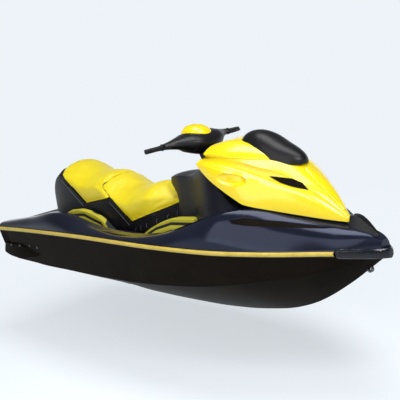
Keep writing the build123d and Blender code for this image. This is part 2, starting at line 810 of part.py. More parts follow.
# Lower hood: a shell, open below, with the knuckle of its front hinge and two vent openings
with BuildPart() as hood_lower:
    add(hood_form)
    add(above_hood_edge(0), mode=Mode.INTERSECT)
    with BuildSketch(Plane.XZ):
        with Locations((HINGE_X, HINGE_Z)):
            Circle(KNUCKLE_R)
            Rectangle(HINGE_X - HOOD_SECTIONS[-2][0], 2 * KNUCKLE_R, align=(Align.MAX, Align.CENTER))
    extrude(amount=KNUCKLE_HALF, both=True)
    for x, half, top_z in RIDGE_SECTIONS:
        with BuildSketch(station(x)):
            foot = (half, top_z - RIDGE_DEPTH)
            Polygon(*mirrored([foot, (half, top_z - RIDGE_EASE), (half / 2, top_z)]), align=None)
    loft()
    add(hood_hollow, mode=Mode.SUBTRACT)
    with BuildSketch(Plane.XZ):
        with Locations((HINGE_X, HINGE_Z)):
            Circle(HINGE_PIN_R + PIN_GAP)
    extrude(amount=CUT_REACH, both=True, mode=Mode.SUBTRACT)
    for side in (-1, 1):
        with BuildSketch(buttock(side * VENT_INNER_Y)):
            Polygon(*VENT_OUTLINE, align=None)
        extrude(amount=-side * CUT_REACH, mode=Mode.SUBTRACT)
finish(hood_lower, "hood_lower")

# Vent inserts, set back in the hood's openings
with BuildPart() as hood_vents:
    for side in (-1, 1):
        with BuildSketch(buttock(side * VENT_INNER_Y)):
            Polygon(*VENT_OUTLINE, align=None)
        extrude(amount=-side * CUT_REACH)
    add(hood_loft(VENT_DEPTH, HOOD_SECTIONS[1:-1]), mode=Mode.INTERSECT)
    add(hood_hollow, mode=Mode.SUBTRACT)
finish(hood_vents, "hood_vents")

# Upper hood, whose sides stand out as winglets
with BuildPart() as hood_upper:
    for x, tip_y, tip_z, top_y, top_z, under_y, under_z in WING_SECTIONS:
        with BuildSketch(station(x)):
            Polygon(*mirrored([(under_y, under_z), (tip_y, tip_z), (top_y, top_z)]), align=None)
    loft()
    add(hood_form, mode=Mode.SUBTRACT)
finish(hood_upper, "hood_upper")

# Mirrors on the winglets' rear faces
with BuildPart() as winglet_mirrors:
    with BuildSketch(station(WING_SECTIONS[0][0])):
        with Locations((-MIRROR_Y, MIRROR_Z), (MIRROR_Y, MIRROR_Z)):
            RectangleRounded(MIRROR_WIDTH, MIRROR_HEIGHT, MIRROR_HEIGHT / 3)
    extrude(amount=-MIRROR_THICK)
finish(winglet_mirrors, "winglet_mirrors")

# Visor: a crowned cover on the hood's brow
with BuildPart() as visor:
    for x, half, foot_z, crown_z in VISOR_SECTIONS:
        with BuildSketch(station(x)):
            with BuildLine():
                Line((-half, foot_z), (half, foot_z))
                ThreePointArc((half, foot_z), (0, crown_z), (-half, foot_z))
            make_face()
    loft()
    add(hood_form, mode=Mode.SUBTRACT)
    add(hood_upper.part, mode=Mode.SUBTRACT)
finish(visor, "visor")

# Seat form: crowned over its whole length, cut by its seams into two cushions and a base
with BuildPart() as seat_form:
    for x, half, shoulder_z, crown_z in SEAT_SECTIONS:
        with BuildSketch(station(x)):
            with BuildLine():
                Polyline(
                    (-half, shoulder_z),
                    (-half, PLATFORM_Z + SEAM),
                    (half, PLATFORM_Z + SEAM),
                    (half, shoulder_z),
                )
                ThreePointArc((half, shoulder_z), (0, crown_z), (-half, shoulder_z))
            make_face()
    loft()
    add(beyond_seat(0), mode=Mode.SUBTRACT)
split = [CUSHION_MEET, CUSHION_SPLIT, SPLIT_TOP, (SPLIT_TOP[0], SEAM_TOP_Z)]
front_edge = [DRIVER_TOE, FRONT_KNEE, FRONT_TOP, (FRONT_TOP[0], SEAM_TOP_Z)]
driver_prism = side_prism([DRIVER_HEEL] + front_edge + split[::-1])
passenger_prism = side_prism(
    [PASSENGER_HEEL]
    + split
    + [(seat_aft_x - WALL, SEAM_TOP_Z), (seat_aft_x - WALL, PASSENGER_BACK[1]), PASSENGER_BACK]
)
with BuildPart() as driver_cushion:
    add(seat_form.part)
    add(driver_prism, mode=Mode.INTERSECT)
finish(driver_cushion, "driver_cushion")

with BuildPart() as passenger_cushion:
    add(seat_form.part)
    add(passenger_prism, mode=Mode.INTERSECT)
finish(passenger_cushion, "passenger_cushion")

with BuildPart() as seat_base:
    add(seat_form.part)
    add(driver_prism, mode=Mode.SUBTRACT)
    add(passenger_prism, mode=Mode.SUBTRACT)
finish(seat_base, "seat_base")

# Grab handle: a loop behind the seat
with BuildPart() as grab_handle:
    with BuildSketch(Plane.XY.offset(HANDLE_Z)):
        with Locations((seat_aft_x - HANDLE_REACH, 0)):
            RectangleRounded(
                2 * HANDLE_REACH, 2 * HANDLE_HALF, HANDLE_BAR, align=(Align.MIN, Align.CENTER)
            )
        with Locations((seat_aft_x - HANDLE_REACH + HANDLE_BAR, 0)):
            RectangleRounded(
                2 * HANDLE_REACH,
                2 * (HANDLE_HALF - HANDLE_BAR),
                HANDLE_BAR / 2,
                align=(Align.MIN, Align.CENTER),
                mode=Mode.SUBTRACT,
            )
    extrude(amount=HANDLE_THICK)
    add(seat_form.part, mode=Mode.SUBTRACT)
finish(grab_handle, "grab_handle")

# Handlebar tube, swept back at its ends
with BuildPart() as handlebar_tube:
    end_x, end_y, end_z = BAR_END
    bend_x, bend_y, bend_z = BAR_BEND
    with BuildLine():
        run = FilletPolyline(
            (end_x, -end_y, end_z),
            (bend_x, -bend_y, bend_z),
            (bend_x, bend_y, bend_z),
            (end_x, end_y, end_z),
            radius=BAR_BEND_R,
        )
    with BuildSketch(Plane(origin=run @ 0, z_dir=run % 0)):
        Circle(BAR_R)
    sweep()
finish(handlebar_tube, "handlebar_tube")

with BuildPart() as handlebar_grips:
    for side in (-1, 1):
        tip = Vector(end_x, side * end_y, end_z)
        inward = (Vector(bend_x, side * bend_y, bend_z) - tip).normalized()
        with BuildSketch(Plane(origin=tip, z_dir=inward)):
            Circle(GRIP_R)
        extrude(amount=GRIP_LENGTH)
        with BuildSketch(Plane(origin=tip + inward * (GRIP_LENGTH - GRIP_COLLAR), z_dir=inward)):
            Circle(GRIP_COLLAR_R)
        extrude(amount=GRIP_COLLAR)
    add(handlebar_tube.part, mode=Mode.SUBTRACT)
finish(handlebar_grips, "handlebar_grips")

# Cover over the middle of the handlebar, with an arm to each grip
with BuildPart() as handlebar_cover:
    for y, x, z, half_length, half_height in COVER_SECTIONS:
        with BuildSketch(buttock(y)):
            with Locations((x, z)):
                Ellipse(half_length, half_height)
    loft()
    add(handlebar_tube.part, mode=Mode.SUBTRACT)
    add(steering_column.part, mode=Mode.SUBTRACT)
finish(handlebar_cover, "handlebar_cover")

with BuildPart() as handlebar_cap:
    for z, x, half_length, half_width in CAP_SECTIONS:
        with BuildSketch(Plane.XY.offset(z)):
            with Locations((x, 0)):
                Ellipse(half_length, half_width)
    loft()
    add(handlebar_cover.part, mode=Mode.SUBTRACT)
    add(handlebar_tube.part, mode=Mode.SUBTRACT)
finish(handlebar_cap, "handlebar_cap")

# Throttle lever and its mate, one in front of each grip
with BuildPart() as control_levers:
    with BuildSketch(Plane.XY.offset(bend_z - LEVER_THICK)):
        for side in (-1, 1):
            Polygon(*[(x, side * y) for x, y in LEVER_OUTLINE], align=None)
    extrude(amount=LEVER_THICK)
    add(handlebar_cover.part, mode=Mode.SUBTRACT)
    add(handlebar_tube.part, mode=Mode.SUBTRACT)
    add(handlebar_grips.part, mode=Mode.SUBTRACT)
finish(control_levers, "control_levers")

# Pump housing: flange, bore, stator vanes round a bullet, venturi, and the ears of nozzle and gate
pump_fore_x = TUNNEL_FORE_X - SEAM
venturi_out_r = VENTURI_R + VENTURI_WALL
pump_out_r = PUMP_BORE_R + PUMP_WALL
jet_axis = Axis((0, 0, JET_Z), (1, 0, 0))
stator_fore_x = pump_fore_x - IMPELLER_LENGTH - 3 * RUN_GAP
gate_half_in = GATE_HALF - GATE_WALL
nozzle_out_r = NOZZLE_FORE_R + NOZZLE_WALL
ear_in = nozzle_out_r + RUN_GAP
with BuildPart() as pump_housing:
    with BuildSketch(Plane.XZ):
        Polygon(
            (pump_fore_x, JET_Z + PUMP_BORE_R),
            (pump_fore_x, JET_Z + FLANGE_R),
            (pump_fore_x - FLANGE_THICK, JET_Z + FLANGE_R),
            (pump_fore_x - FLANGE_THICK, JET_Z + pump_out_r),
            (PUMP_AFT_X, JET_Z + pump_out_r),
            (VENTURI_NECK_X, JET_Z + venturi_out_r),
            (VENTURI_END_X, JET_Z + venturi_out_r),
            (VENTURI_END_X, JET_Z + VENTURI_R),
            (VENTURI_NECK_X, JET_Z + VENTURI_R),
            (PUMP_AFT_X, JET_Z + PUMP_BORE_R),
            align=None,
        )
    revolve(axis=jet_axis)
    with BuildSketch(Plane.XZ):
        Polygon(
            (stator_fore_x, JET_Z),
            (stator_fore_x, JET_Z + BULLET_R),
            (PUMP_AFT_X, JET_Z + BULLET_R),
            (VENTURI_NECK_X, JET_Z),
            align=None,
        )
    revolve(axis=jet_axis)
    with BuildSketch(station(stator_fore_x)):
        with Locations((0, JET_Z)):
            with PolarLocations(0, STATOR_VANES):
                Rectangle(PUMP_BORE_R + PUMP_WALL / 2, VANE_THICK, align=(Align.MIN, Align.CENTER))
    extrude(amount=PUMP_AFT_X - stator_fore_x)
    for side in (-1, 1):
        with BuildSketch(buttock(side * venturi_out_r / 2)):
            with Locations((GATE_PIVOT_X, JET_Z)):
                Circle(GATE_EYE_R)
        extrude(amount=-side * (gate_half_in - SEAM - venturi_out_r / 2))
        with BuildSketch(buttock(side * venturi_out_r)):
            with Locations((GATE_PIVOT_X, JET_Z)):
                Circle(GATE_PIN_R)
        extrude(amount=-side * (GATE_HALF - venturi_out_r))
        with BuildSketch(Plane.XY.offset(JET_Z + side * ear_in)):
            with Locations((NOZZLE_PIVOT_X, 0)):
                Circle(EAR_HALF)
                Rectangle(
                    PUMP_AFT_X - NOZZLE_PIVOT_X + EAR_THICK,
                    2 * EAR_HALF,
                    align=(Align.MIN, Align.CENTER),
                )
                Circle(NOZZLE_PIN_R + PIN_GAP, mode=Mode.SUBTRACT)
        extrude(amount=side * EAR_THICK)
    with BuildSketch(station(VENTURI_END_X)):
        with Locations((0, JET_Z)):
            Circle(VENTURI_R)
    extrude(amount=VENTURI_NECK_X - VENTURI_END_X, mode=Mode.SUBTRACT)
finish(pump_housing, "pump_housing")

# Steering nozzle on its upright pins
with BuildPart() as steering_nozzle:
    with BuildSketch(Plane.XZ):
        Polygon(
            (NOZZLE_FORE_X, JET_Z + NOZZLE_FORE_R),
            (NOZZLE_FORE_X, JET_Z + nozzle_out_r),
            (NOZZLE_AFT_X, JET_Z + NOZZLE_AFT_R + NOZZLE_WALL),
            (NOZZLE_AFT_X, JET_Z + NOZZLE_AFT_R),
            align=None,
        )
    revolve(axis=jet_axis)
    for side in (-1, 1):
        with BuildSketch(Plane.XY.offset(JET_Z + side * (NOZZLE_FORE_R + NOZZLE_WALL / 2))):
            with Locations((NOZZLE_PIVOT_X, 0)):
                Circle(NOZZLE_PIN_R)
        extrude(amount=side * (RUN_GAP + EAR_THICK + NOZZLE_WALL / 2))
finish(steering_nozzle, "steering_nozzle")


def gate_point(radius, angle):
    """A point of the reverse gate at this radius from its pivot, angle degrees above aft."""
    return (
        GATE_PIVOT_X - radius * cos(radians(angle)),
        JET_Z + radius * sin(radians(angle)),
    )


# Reverse gate: a curved bucket between two side plates, raised clear of the jet
gate_mid_deg = (GATE_LOW_DEG + GATE_HIGH_DEG) / 2
gate_out_r = GATE_R + GATE_WALL
with BuildPart() as reverse_gate:
    with BuildSketch(Plane.XZ):
        with BuildLine():
            inner_arc = ThreePointArc(
                gate_point(GATE_R, GATE_LOW_DEG),
                gate_point(GATE_R, gate_mid_deg),
                gate_point(GATE_R, GATE_HIGH_DEG),
            )
            outer_arc = ThreePointArc(
                gate_point(gate_out_r, GATE_HIGH_DEG),
                gate_point(gate_out_r, gate_mid_deg),
                gate_point(gate_out_r, GATE_LOW_DEG),
            )
            Line(inner_arc @ 1, outer_arc @ 0)
            Line(outer_arc @ 1, inner_arc @ 0)
        make_face()
    extrude(amount=GATE_HALF, both=True)
    for side in (-1, 1):
        with BuildSketch(buttock(side * gate_half_in)):
            with BuildLine():
                arc = ThreePointArc(
                    gate_point(gate_out_r, GATE_LOW_DEG),
                    gate_point(gate_out_r, gate_mid_deg),
                    gate_point(gate_out_r, GATE_HIGH_DEG),
                )
                Polyline(arc @ 1, (GATE_PIVOT_X, JET_Z), arc @ 0)
            make_face()
            with Locations((GATE_PIVOT_X, JET_Z)):
                Circle(GATE_EYE_R)
                Circle(GATE_PIN_R + PIN_GAP, mode=Mode.SUBTRACT)
        extrude(amount=-side * GATE_WALL)
finish(reverse_gate, "reverse_gate")

# Drive shaft and impeller
impeller_fore_x = pump_fore_x - RUN_GAP
impeller_mid_x = impeller_fore_x - IMPELLER_LENGTH / 2
with BuildPart() as drive_shaft:
    with BuildSketch(station(SHAFT_FORE_X - SEAM)):
        with Locations((0, JET_Z)):
            Circle(SHAFT_R)
    extrude(amount=impeller_fore_x - IMPELLER_LENGTH - SHAFT_FORE_X + SEAM)
finish(drive_shaft, "drive_shaft")

with BuildPart() as impeller:
    for blade in range(IMPELLER_BLADES):
        turn = radians(360 * blade / IMPELLER_BLADES)
        radial = Vector(0, cos(turn), sin(turn))
        tangent = Vector(0, -sin(turn), cos(turn))
        for radius, chord, pitch, thick in BLADE_SECTIONS:
            along = Vector(cos(radians(pitch)), 0, 0) + tangent * sin(radians(pitch))
            root = Vector(impeller_mid_x, 0, JET_Z) + radial * radius
            with BuildSketch(Plane(origin=root, x_dir=along, z_dir=radial)):
                Rectangle(chord, thick)
        loft()
    with BuildSketch(station(impeller_fore_x)):
        with Locations((0, JET_Z)):
            Circle(PUMP_BORE_R - RUN_GAP)
    extrude(amount=-IMPELLER_LENGTH, mode=Mode.INTERSECT)
    with BuildSketch(station(impeller_fore_x)):
        with Locations((0, JET_Z)):
            Circle(IMPELLER_HUB_R)
    extrude(amount=-IMPELLER_LENGTH)
    add(drive_shaft.part, mode=Mode.SUBTRACT)
finish(impeller, "impeller")


def vee_plate(half, thick):
    """Half outline of a plate that follows the bottom of the hull."""
    rise = bottom_slope * half
    return [(0, keel_z), (half, keel_z + rise), (half, keel_z + rise + thick), (0, keel_z + thick)]


# Ride plate under the pump
with BuildPart() as ride_plate:
    for side in (-1, 1):
        with BuildSketch(station(TRANSOM_X)):
            Polygon(*[(side * y, z) for y, z in vee_plate(TUNNEL_R - SEAM, PLATE_THICK)], align=None)
        extrude(amount=TUNNEL_FORE_X - SEAM - TRANSOM_X)
finish(ride_plate, "ride_plate")

# Intake grate: bars along the flow between two cross bars
with BuildPart() as intake_grate:
    for x in (TUNNEL_FORE_X + SEAM, GRATE_FORE_X - GRATE_BAR_HEIGHT):
        for side in (-1, 1):
            with BuildSketch(station(x)):
                half = vee_plate(PUMP_BORE_R - SEAM, GRATE_BAR_HEIGHT)
                Polygon(*[(side * y, z) for y, z in half], align=None)
            extrude(amount=GRATE_BAR_HEIGHT)
    for y in GRATE_BAR_Y:
        with BuildSketch(station(TUNNEL_FORE_X + SEAM)):
            with Locations((y, keel_z + bottom_slope * abs(y) + GRATE_BAR_WIDTH / 2)):
                Rectangle(GRATE_BAR_WIDTH, GRATE_BAR_HEIGHT / 2, align=(Align.CENTER, Align.MIN))
        extrude(amount=GRATE_FORE_X - TUNNEL_FORE_X - SEAM)
finish(intake_grate, "intake_grate")

# Sponsons on the hull's sides at the stern
with BuildPart() as sponsons:
    for side in (-1, 1):
        for x, inner_y, proud, low_z, high_z in SPONSON_SECTIONS:
            with BuildSketch(station(x)):
                Polygon(
                    (side * inner_y, low_z),
                    (side * (inner_y + proud), low_z + SPONSON_LIP),
                    (side * (inner_y + proud), low_z + 2 * SPONSON_LIP),
                    (side * (inner_y + proud - SPONSON_LIP), high_z),
                    (side * inner_y, high_z),
                    align=None,
                )
        loft()
    add(hull.part, mode=Mode.SUBTRACT)
finish(sponsons, "sponsons")

# Towing eyes on the stem and on the stern
with BuildPart() as bow_eye:
    with BuildSketch(Plane.XZ):
        with Locations((BOW_EYE_X, BOW_EYE_Z)):
            Circle(EYE_R)
            Rectangle(
                EYE_SHANK,
                2 * EYE_R,
                rotation=BOW_EYE_LEAN,
                align=(Align.MIN, Align.CENTER),
            )
            Circle(EYE_HOLE_R, mode=Mode.SUBTRACT)
    extrude(amount=EYE_HALF, both=True)
    add(hull.part, mode=Mode.SUBTRACT)
finish(bow_eye, "bow_eye")

with BuildPart() as stern_eyes:
    for side in (-1, 1):
        with BuildSketch(buttock(side * STERN_EYE_Y)):
            with Locations((STERN_EYE_X, STERN_EYE_Z)):
                Circle(EYE_R)
                Rectangle(EYE_SHANK, 2 * EYE_R, align=(Align.MIN, Align.CENTER))
                Circle(EYE_HOLE_R, mode=Mode.SUBTRACT)
        extrude(amount=EYE_HALF, both=True)
    add(hull.part, mode=Mode.SUBTRACT)
finish(stern_eyes, "stern_eyes")
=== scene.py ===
# %% [markdown]
# # A personal watercraft in the studio
# The solids come from CAD and are a fixed frame: they say where every piece is and how it
# moves. This lesson dresses that frame. Hard mouldings get smooth skins and paint, the seat gets
# stuffed cushions, and the small fittings that a moulding shop adds last are modelled on top.

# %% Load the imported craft
import json
from math import atan, cos, pi, radians, sin

import bmesh
import bpy
from mathutils import Matrix, Vector
from mathutils.bvhtree import BVHTree


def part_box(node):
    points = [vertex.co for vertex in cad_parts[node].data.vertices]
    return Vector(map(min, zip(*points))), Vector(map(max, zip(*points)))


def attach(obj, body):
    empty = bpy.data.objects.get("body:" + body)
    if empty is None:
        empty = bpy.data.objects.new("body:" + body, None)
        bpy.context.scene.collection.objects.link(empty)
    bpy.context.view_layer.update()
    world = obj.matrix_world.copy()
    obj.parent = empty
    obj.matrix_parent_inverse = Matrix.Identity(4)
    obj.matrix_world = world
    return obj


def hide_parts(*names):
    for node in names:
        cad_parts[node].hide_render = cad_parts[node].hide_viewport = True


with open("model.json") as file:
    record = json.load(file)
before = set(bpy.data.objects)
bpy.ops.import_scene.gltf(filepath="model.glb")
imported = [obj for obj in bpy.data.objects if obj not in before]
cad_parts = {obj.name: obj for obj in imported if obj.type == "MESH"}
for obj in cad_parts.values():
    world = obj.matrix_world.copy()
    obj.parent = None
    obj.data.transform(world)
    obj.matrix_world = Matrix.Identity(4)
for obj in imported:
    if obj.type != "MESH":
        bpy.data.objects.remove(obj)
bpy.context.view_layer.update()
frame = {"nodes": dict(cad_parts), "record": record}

bodies = frame["record"]["behaviour"]["bodies"]
body_of = {node: body for body, nodes in bodies.items() for node in nodes}

# %% [markdown]
# ## The camera
# The photograph was taken from ahead and to starboard, a little above the deck, with the camera
# slightly rolled. A camera can be aimed with a Track To constraint, but a roll is easier to give
# as three directions: right, up and back are the columns of the camera's matrix.

# %% Camera at the photograph's place
AZIMUTH, ELEVATION, ROLL = radians(49.2594), radians(11.8416), radians(-7.5384)
AIM = Vector((0.13026, 0.00066, 0.39023))
DISTANCE = 5.30278
FOCAL_PX, FRAME_PX, SENSOR_MM = 875.853, 400, 36

back = Vector((sin(AZIMUTH) * cos(ELEVATION), -cos(AZIMUTH) * cos(ELEVATION), sin(ELEVATION)))
level = Vector((cos(AZIMUTH), sin(AZIMUTH), 0))
upright = back.cross(level)
right = level * cos(ROLL) + upright * sin(ROLL)
up = upright * cos(ROLL) - level * sin(ROLL)
lens = bpy.data.cameras.new("photo_camera")
lens.sensor_width = SENSOR_MM
lens.lens = FOCAL_PX * SENSOR_MM / FRAME_PX
camera = bpy.data.objects.new("photo_camera", lens)
turned = Matrix((right, up, back)).transposed().to_4x4()
camera.matrix_world = Matrix.Translation(AIM + back * DISTANCE) @ turned
bpy.context.collection.objects.link(camera)
bpy.context.scene.camera = camera
bpy.context.scene.view_settings.view_transform = "Standard"
print("lens", round(lens.lens, 2), "mm at", [round(v, 2) for v in camera.location])

# %% [markdown]
# ## Colours and nodes
# Paint is matched as an sRGB hex value, but shaders reckon in linear light, so one
# function turns the one into the other. A second adds a node, sets it and links it in one call,
# which keeps each material readable as a short list of what feeds what.

# %% Colour and node helpers
def linear(code):
    """A #rrggbb colour as linear RGBA."""
    parts = [int(code[i : i + 2], 16) / 255 for i in (1, 3, 5)]
    return [c / 12.92 if c <= 0.04045 else ((c + 0.055) / 1.055) ** 2.4 for c in parts] + [1]


def add_node(tree, kind, inputs=None, **settings):
    """Add a node; an input is a value, or another node's socket to link."""
    node = tree.nodes.new("ShaderNode" + kind)
    for name, value in settings.items():
        setattr(node, name, value)
    for name, value in (inputs or {}).items():
        if isinstance(value, bpy.types.NodeSocket):
            tree.links.new(value, node.inputs[name])
        else:
            node.inputs[name].default_value = value
    return node


def per_mm(size):
    """Texture scale at which one feature is size millimetres wide."""
    return 1000 / size


def new_finish(name, sockets):
    """An empty finish: its material, node tree, shader and object coordinates."""
    finish = bpy.data.materials.new(name)
    finish.use_nodes = True
    tree = finish.node_tree
    tree.nodes.clear()
    shader = add_node(tree, "BsdfPrincipled", sockets)
    add_node(tree, "OutputMaterial", {"Surface": shader.outputs[0]})
    return finish, tree, shader, add_node(tree, "TexCoord").outputs["Object"]


print("yellow gelcoat in linear light", [round(c, 3) for c in linear("#fbdc00")])

# %% [markdown]
# ## The studio
# The craft hangs clear of a pale floor, over a soft shadow. A floor lit only by lamps fades with
# distance, so the camera and the reflections see part of it as an even pale glow, through the
# Light Path node, and the rest stays plain matt paint that takes the shadow.

# %% Floor and world
FLOOR_Z = -0.57
FLOOR_HALF = 60
BACKDROP = linear("#edf3f8")
GLOW_NEAR, GLOW_FAR = 0.45, 1.0
GLOW_LIFT = 1.43
GLOW_REACH = (1.2, 5.0)

floor_paint = bpy.data.materials.new("studio_floor_paint")
floor_paint.use_nodes = True
tree = floor_paint.node_tree
tree.nodes.clear()
path = add_node(tree, "LightPath")
seen = path.outputs["Is Camera Ray"]
for ray in ("Is Glossy Ray", "Is Transmission Ray"):
    seen = add_node(tree, "Math", {0: seen, 1: path.outputs[ray]}, operation="MAXIMUM").outputs[0]
away = add_node(tree, "VectorMath", {0: add_node(tree, "TexCoord").outputs["Object"]}, operation="LENGTH")
even = add_node(
    tree,
    "MapRange",
    {
        "Value": away.outputs["Value"],
        "From Min": GLOW_REACH[0],
        "From Max": GLOW_REACH[1],
        "To Min": GLOW_NEAR,
        "To Max": GLOW_FAR,
    },
    interpolation_type="SMOOTHSTEP",
)
share = add_node(tree, "Math", {0: seen, 1: even.outputs[0]}, operation="MULTIPLY")
matt = add_node(tree, "BsdfDiffuse", {"Color": BACKDROP})
lift = add_node(
    tree,
    "MapRange",
    {
        "Value": even.outputs[0],
        "From Min": GLOW_NEAR,
        "From Max": GLOW_FAR,
        "To Min": GLOW_LIFT,
        "To Max": 1.0,
    },
)
glow = add_node(tree, "Emission", {"Color": BACKDROP, "Strength": lift.outputs[0]})
mix = add_node(tree, "MixShader", {0: share.outputs[0], 1: matt.outputs[0], 2: glow.outputs[0]})
add_node(tree, "OutputMaterial", {"Surface": mix.outputs[0]})

bm = bmesh.new()
sunk = Matrix.Translation((0, 0, FLOOR_Z))
bmesh.ops.create_grid(bm, x_segments=1, y_segments=1, size=FLOOR_HALF, matrix=sunk)
floor_mesh = bpy.data.meshes.new("studio_floor")
bm.to_mesh(floor_mesh)
bm.free()
floor_mesh.materials.append(floor_paint)
floor = bpy.data.objects.new("studio_floor", floor_mesh)
bpy.context.collection.objects.link(floor)

# The backdrop is pale up to WALL_TOP, as the sine of its height over the horizon, and the
# studio's ceiling is darker
WALL_TOP, CEILING_FROM = 0.06, 0.42
CEILING = 0.14
world = bpy.data.worlds.new("studio_world")
bpy.context.scene.world = world
world.use_nodes = True
tree = world.node_tree
tree.nodes.clear()
height = add_node(tree, "SeparateXYZ", {0: add_node(tree, "TexCoord").outputs["Generated"]})
strength = add_node(
    tree,
    "MapRange",
    {
        "Value": height.outputs["Z"],
        "From Min": WALL_TOP,
        "From Max": CEILING_FROM,
        "To Min": 1.0,
        "To Max": CEILING,
    },
    interpolation_type="SMOOTHSTEP",
)
sky = add_node(tree, "Background", {"Color": BACKDROP, "Strength": strength.outputs[0]})
add_node(tree, "OutputWorld", {"Surface": sky.outputs[0]})
print("floor at", FLOOR_Z)

# %% [markdown]
# ## The lamps
# Gloss shows the lamps themselves, so their shape matters as much as their power. One wide
# softbox hangs over the craft, a second stands to starboard, where the side of the foredeck
# mirrors it as one long pale patch, and a small one ahead picks out the front of the hood.

# %% Softboxes
# Columns: place, what it looks at, width, height, watts
SOFTBOXES = {
    "softbox_above": ((0.8, 0.1, 4.4), (0.8, 0.1, 0), 4.2, 1.7, 120),
    "softbox_starboard": ((0.9, -3.7, 2.7), (0.6, 0, 0.3), 3.5, 4.2, 84),
    "softbox_bow": ((3.1, -1.0, 2.6), (1.38, -0.12, 0.33), 1.0, 1.0, 45),
}
for name, (place, target, width, height, watts) in SOFTBOXES.items():
    lamp = bpy.data.lights.new(name, "AREA")
    lamp.shape = "RECTANGLE"
    lamp.size, lamp.size_y, lamp.energy = width, height, watts
    softbox = bpy.data.objects.new(name, lamp)
    softbox.location = place
    softbox.rotation_euler = (Vector(target) - Vector(place)).to_track_quat("-Z", "Y").to_euler()
    bpy.context.collection.objects.link(softbox)
print(len(SOFTBOXES), "softboxes")

# %% [markdown]
# ## Moulded finishes
# Most of the craft is moulded: gelcoat sprayed in the mould, ABS trim with a grain etched in the
# tool, rubber, and vinyl with a calendered grain. All vary the same three ways: the colour drifts
# over hand widths, the gloss drifts with it, and a fine relief breaks up the highlights. One
# function therefore makes the whole family, and a table says how each member differs.

# %% A family of moulded finishes
DRIFT_DETAIL, DRIFT_ROUGHNESS = 5.0, 0.6
TONE_FROM, TONE_TO = 0.35, 0.65
RELIEF_STRENGTH = 0.6


def moulded(name, dark, light, drift_mm, gloss, grain_kind, grain_mm, depth_mm, sockets=None):
    """A finish whose colour and gloss drift slowly and whose surface has a fine grain."""
    finish, tree, shader, place = new_finish(name, sockets or {})
    drift = add_node(
        tree,
        "TexNoise",
        {"Vector": place, "Scale": per_mm(drift_mm), "Detail": DRIFT_DETAIL, "Roughness": DRIFT_ROUGHNESS},
    )
    tone = add_node(tree, "ValToRGB", {"Fac": drift.outputs[0]})
    for stop, position, colour in zip(tone.color_ramp.elements, (TONE_FROM, TONE_TO), (dark, light)):
        stop.position = position
        stop.color = linear(colour)
    rough = add_node(tree, "MapRange", {"Value": drift.outputs[0], "To Min": gloss[0], "To Max": gloss[1]})
    grain = add_node(tree, "Tex" + grain_kind, {"Vector": place, "Scale": per_mm(grain_mm)})
    relief = add_node(
        tree,
        "Bump",
        {"Height": grain.outputs[0], "Distance": depth_mm / 1000, "Strength": RELIEF_STRENGTH},
    )
    tree.links.new(tone.outputs[0], shader.inputs["Base Color"])
    tree.links.new(rough.outputs[0], shader.inputs["Roughness"])
    tree.links.new(relief.outputs[0], shader.inputs["Normal"])
    return finish


# Columns: dark and light tone, drift, roughness range, grain and its size and depth, other sockets
MOULDED = {
    # Gelcoat comes out of a polished mould: deep gloss over a faint orange peel
    "black_gelcoat": ("#17130f", "#1e1914", 240, (0.3, 0.45), "Noise", 7, 0.004, {"IOR": 1.06}),
    "navy_gelcoat": (
        "#161824", "#1c1f2d", 300, (0.12, 0.18), "Noise", 9, 0.002,
        {"IOR": 1.46, "Specular Tint": linear("#cdd8ff")},
    ),
    "yellow_gelcoat": (
        "#fbdc00", "#ffe40c", 280, (0.2, 0.28), "Noise", 9, 0.002,
        {"Coat Weight": 0.5, "Coat Roughness": 0.05},
    ),
    # Rails and grips are extruded and moulded rubbers, dull and lightly scuffed; the bow's is glossier
    "yellow_rail_vinyl": ("#c8ac40", "#d8be52", 55, (0.38, 0.55), "Noise", 2.5, 0.1, {}),
    "black_bumper_rubber": ("#0e0e10", "#17171a", 45, (0.28, 0.42), "Noise", 2, 0.05, {"IOR": 1.4}),
    "gloss_bumper_tpu": ("#10121a", "#171a24", 60, (0.14, 0.22), "Noise", 4, 0.01, {"IOR": 1.4}),
    # The handlebar is powder coated, which leaves a fine even pebble
    "black_powder_coat": ("#101011", "#161617", 40, (0.4, 0.5), "Voronoi", 1.2, 0.04, {"IOR": 1.35}),
    # ABS trim carries the tool's grain, finer and glossier on the visor
    "satin_visor_abs": ("#131315", "#19191b", 160, (0.3, 0.38), "Voronoi", 1.6, 0.03, {"IOR": 1.36}),
    "grained_trim_abs": ("#101114", "#18191c", 80, (0.42, 0.56), "Voronoi", 2.4, 0.12, {"IOR": 1.3}),
    "console_abs": ("#15161d", "#1c1e27", 90, (0.3, 0.42), "Voronoi", 2.2, 0.08, {"IOR": 1.16}),
    # Marine vinyl: soft sheen over a pebbled grain, drawn a little coarse so that it shows
    "yellow_marine_vinyl": (
        "#f3db12", "#f8e31c", 80, (0.36, 0.48), "Voronoi", 2.6, 0.14,
        {"Sheen Weight": 0.08},
    ),
    "black_marine_vinyl": (
        "#111116", "#18181e", 70, (0.36, 0.48), "Voronoi", 2.6, 0.12,
        {"IOR": 1.3, "Sheen Weight": 0.03},
    ),
    # Bonded polyester thread is dull, and worn pale
    "grey_thread": ("#55565c", "#6a6b72", 12, (0.5, 0.6), "Noise", 1.5, 0.1, {}),
    # Cast parts keep the sand's texture; stainless is polished. A darker copy of it is painted shade that
    # keeps the small fittings dim
    "cast_aluminium": ("#8e9092", "#a3a5a7", 40, (0.38, 0.52), "Noise", 1.8, 0.15, {"Metallic": 1.0}),
    "polished_stainless": ("#b4b5b6", "#c6c7c8", 30, (0.14, 0.24), "Noise", 1.2, 0.02, {"Metallic": 1.0}),
    # Stainless darkened as painted shade, for the bow eye and the bolt heads
    "stainless_painted_dim": ("#55575b", "#626468", 30, (0.3, 0.4), "Noise", 1.2, 0.02, {"Metallic": 1.0}),
    "mirror_silvering": ("#d4d8dc", "#dde1e5", 60, (0.02, 0.05), "Noise", 20, 0.01, {"Metallic": 1.0}),
}
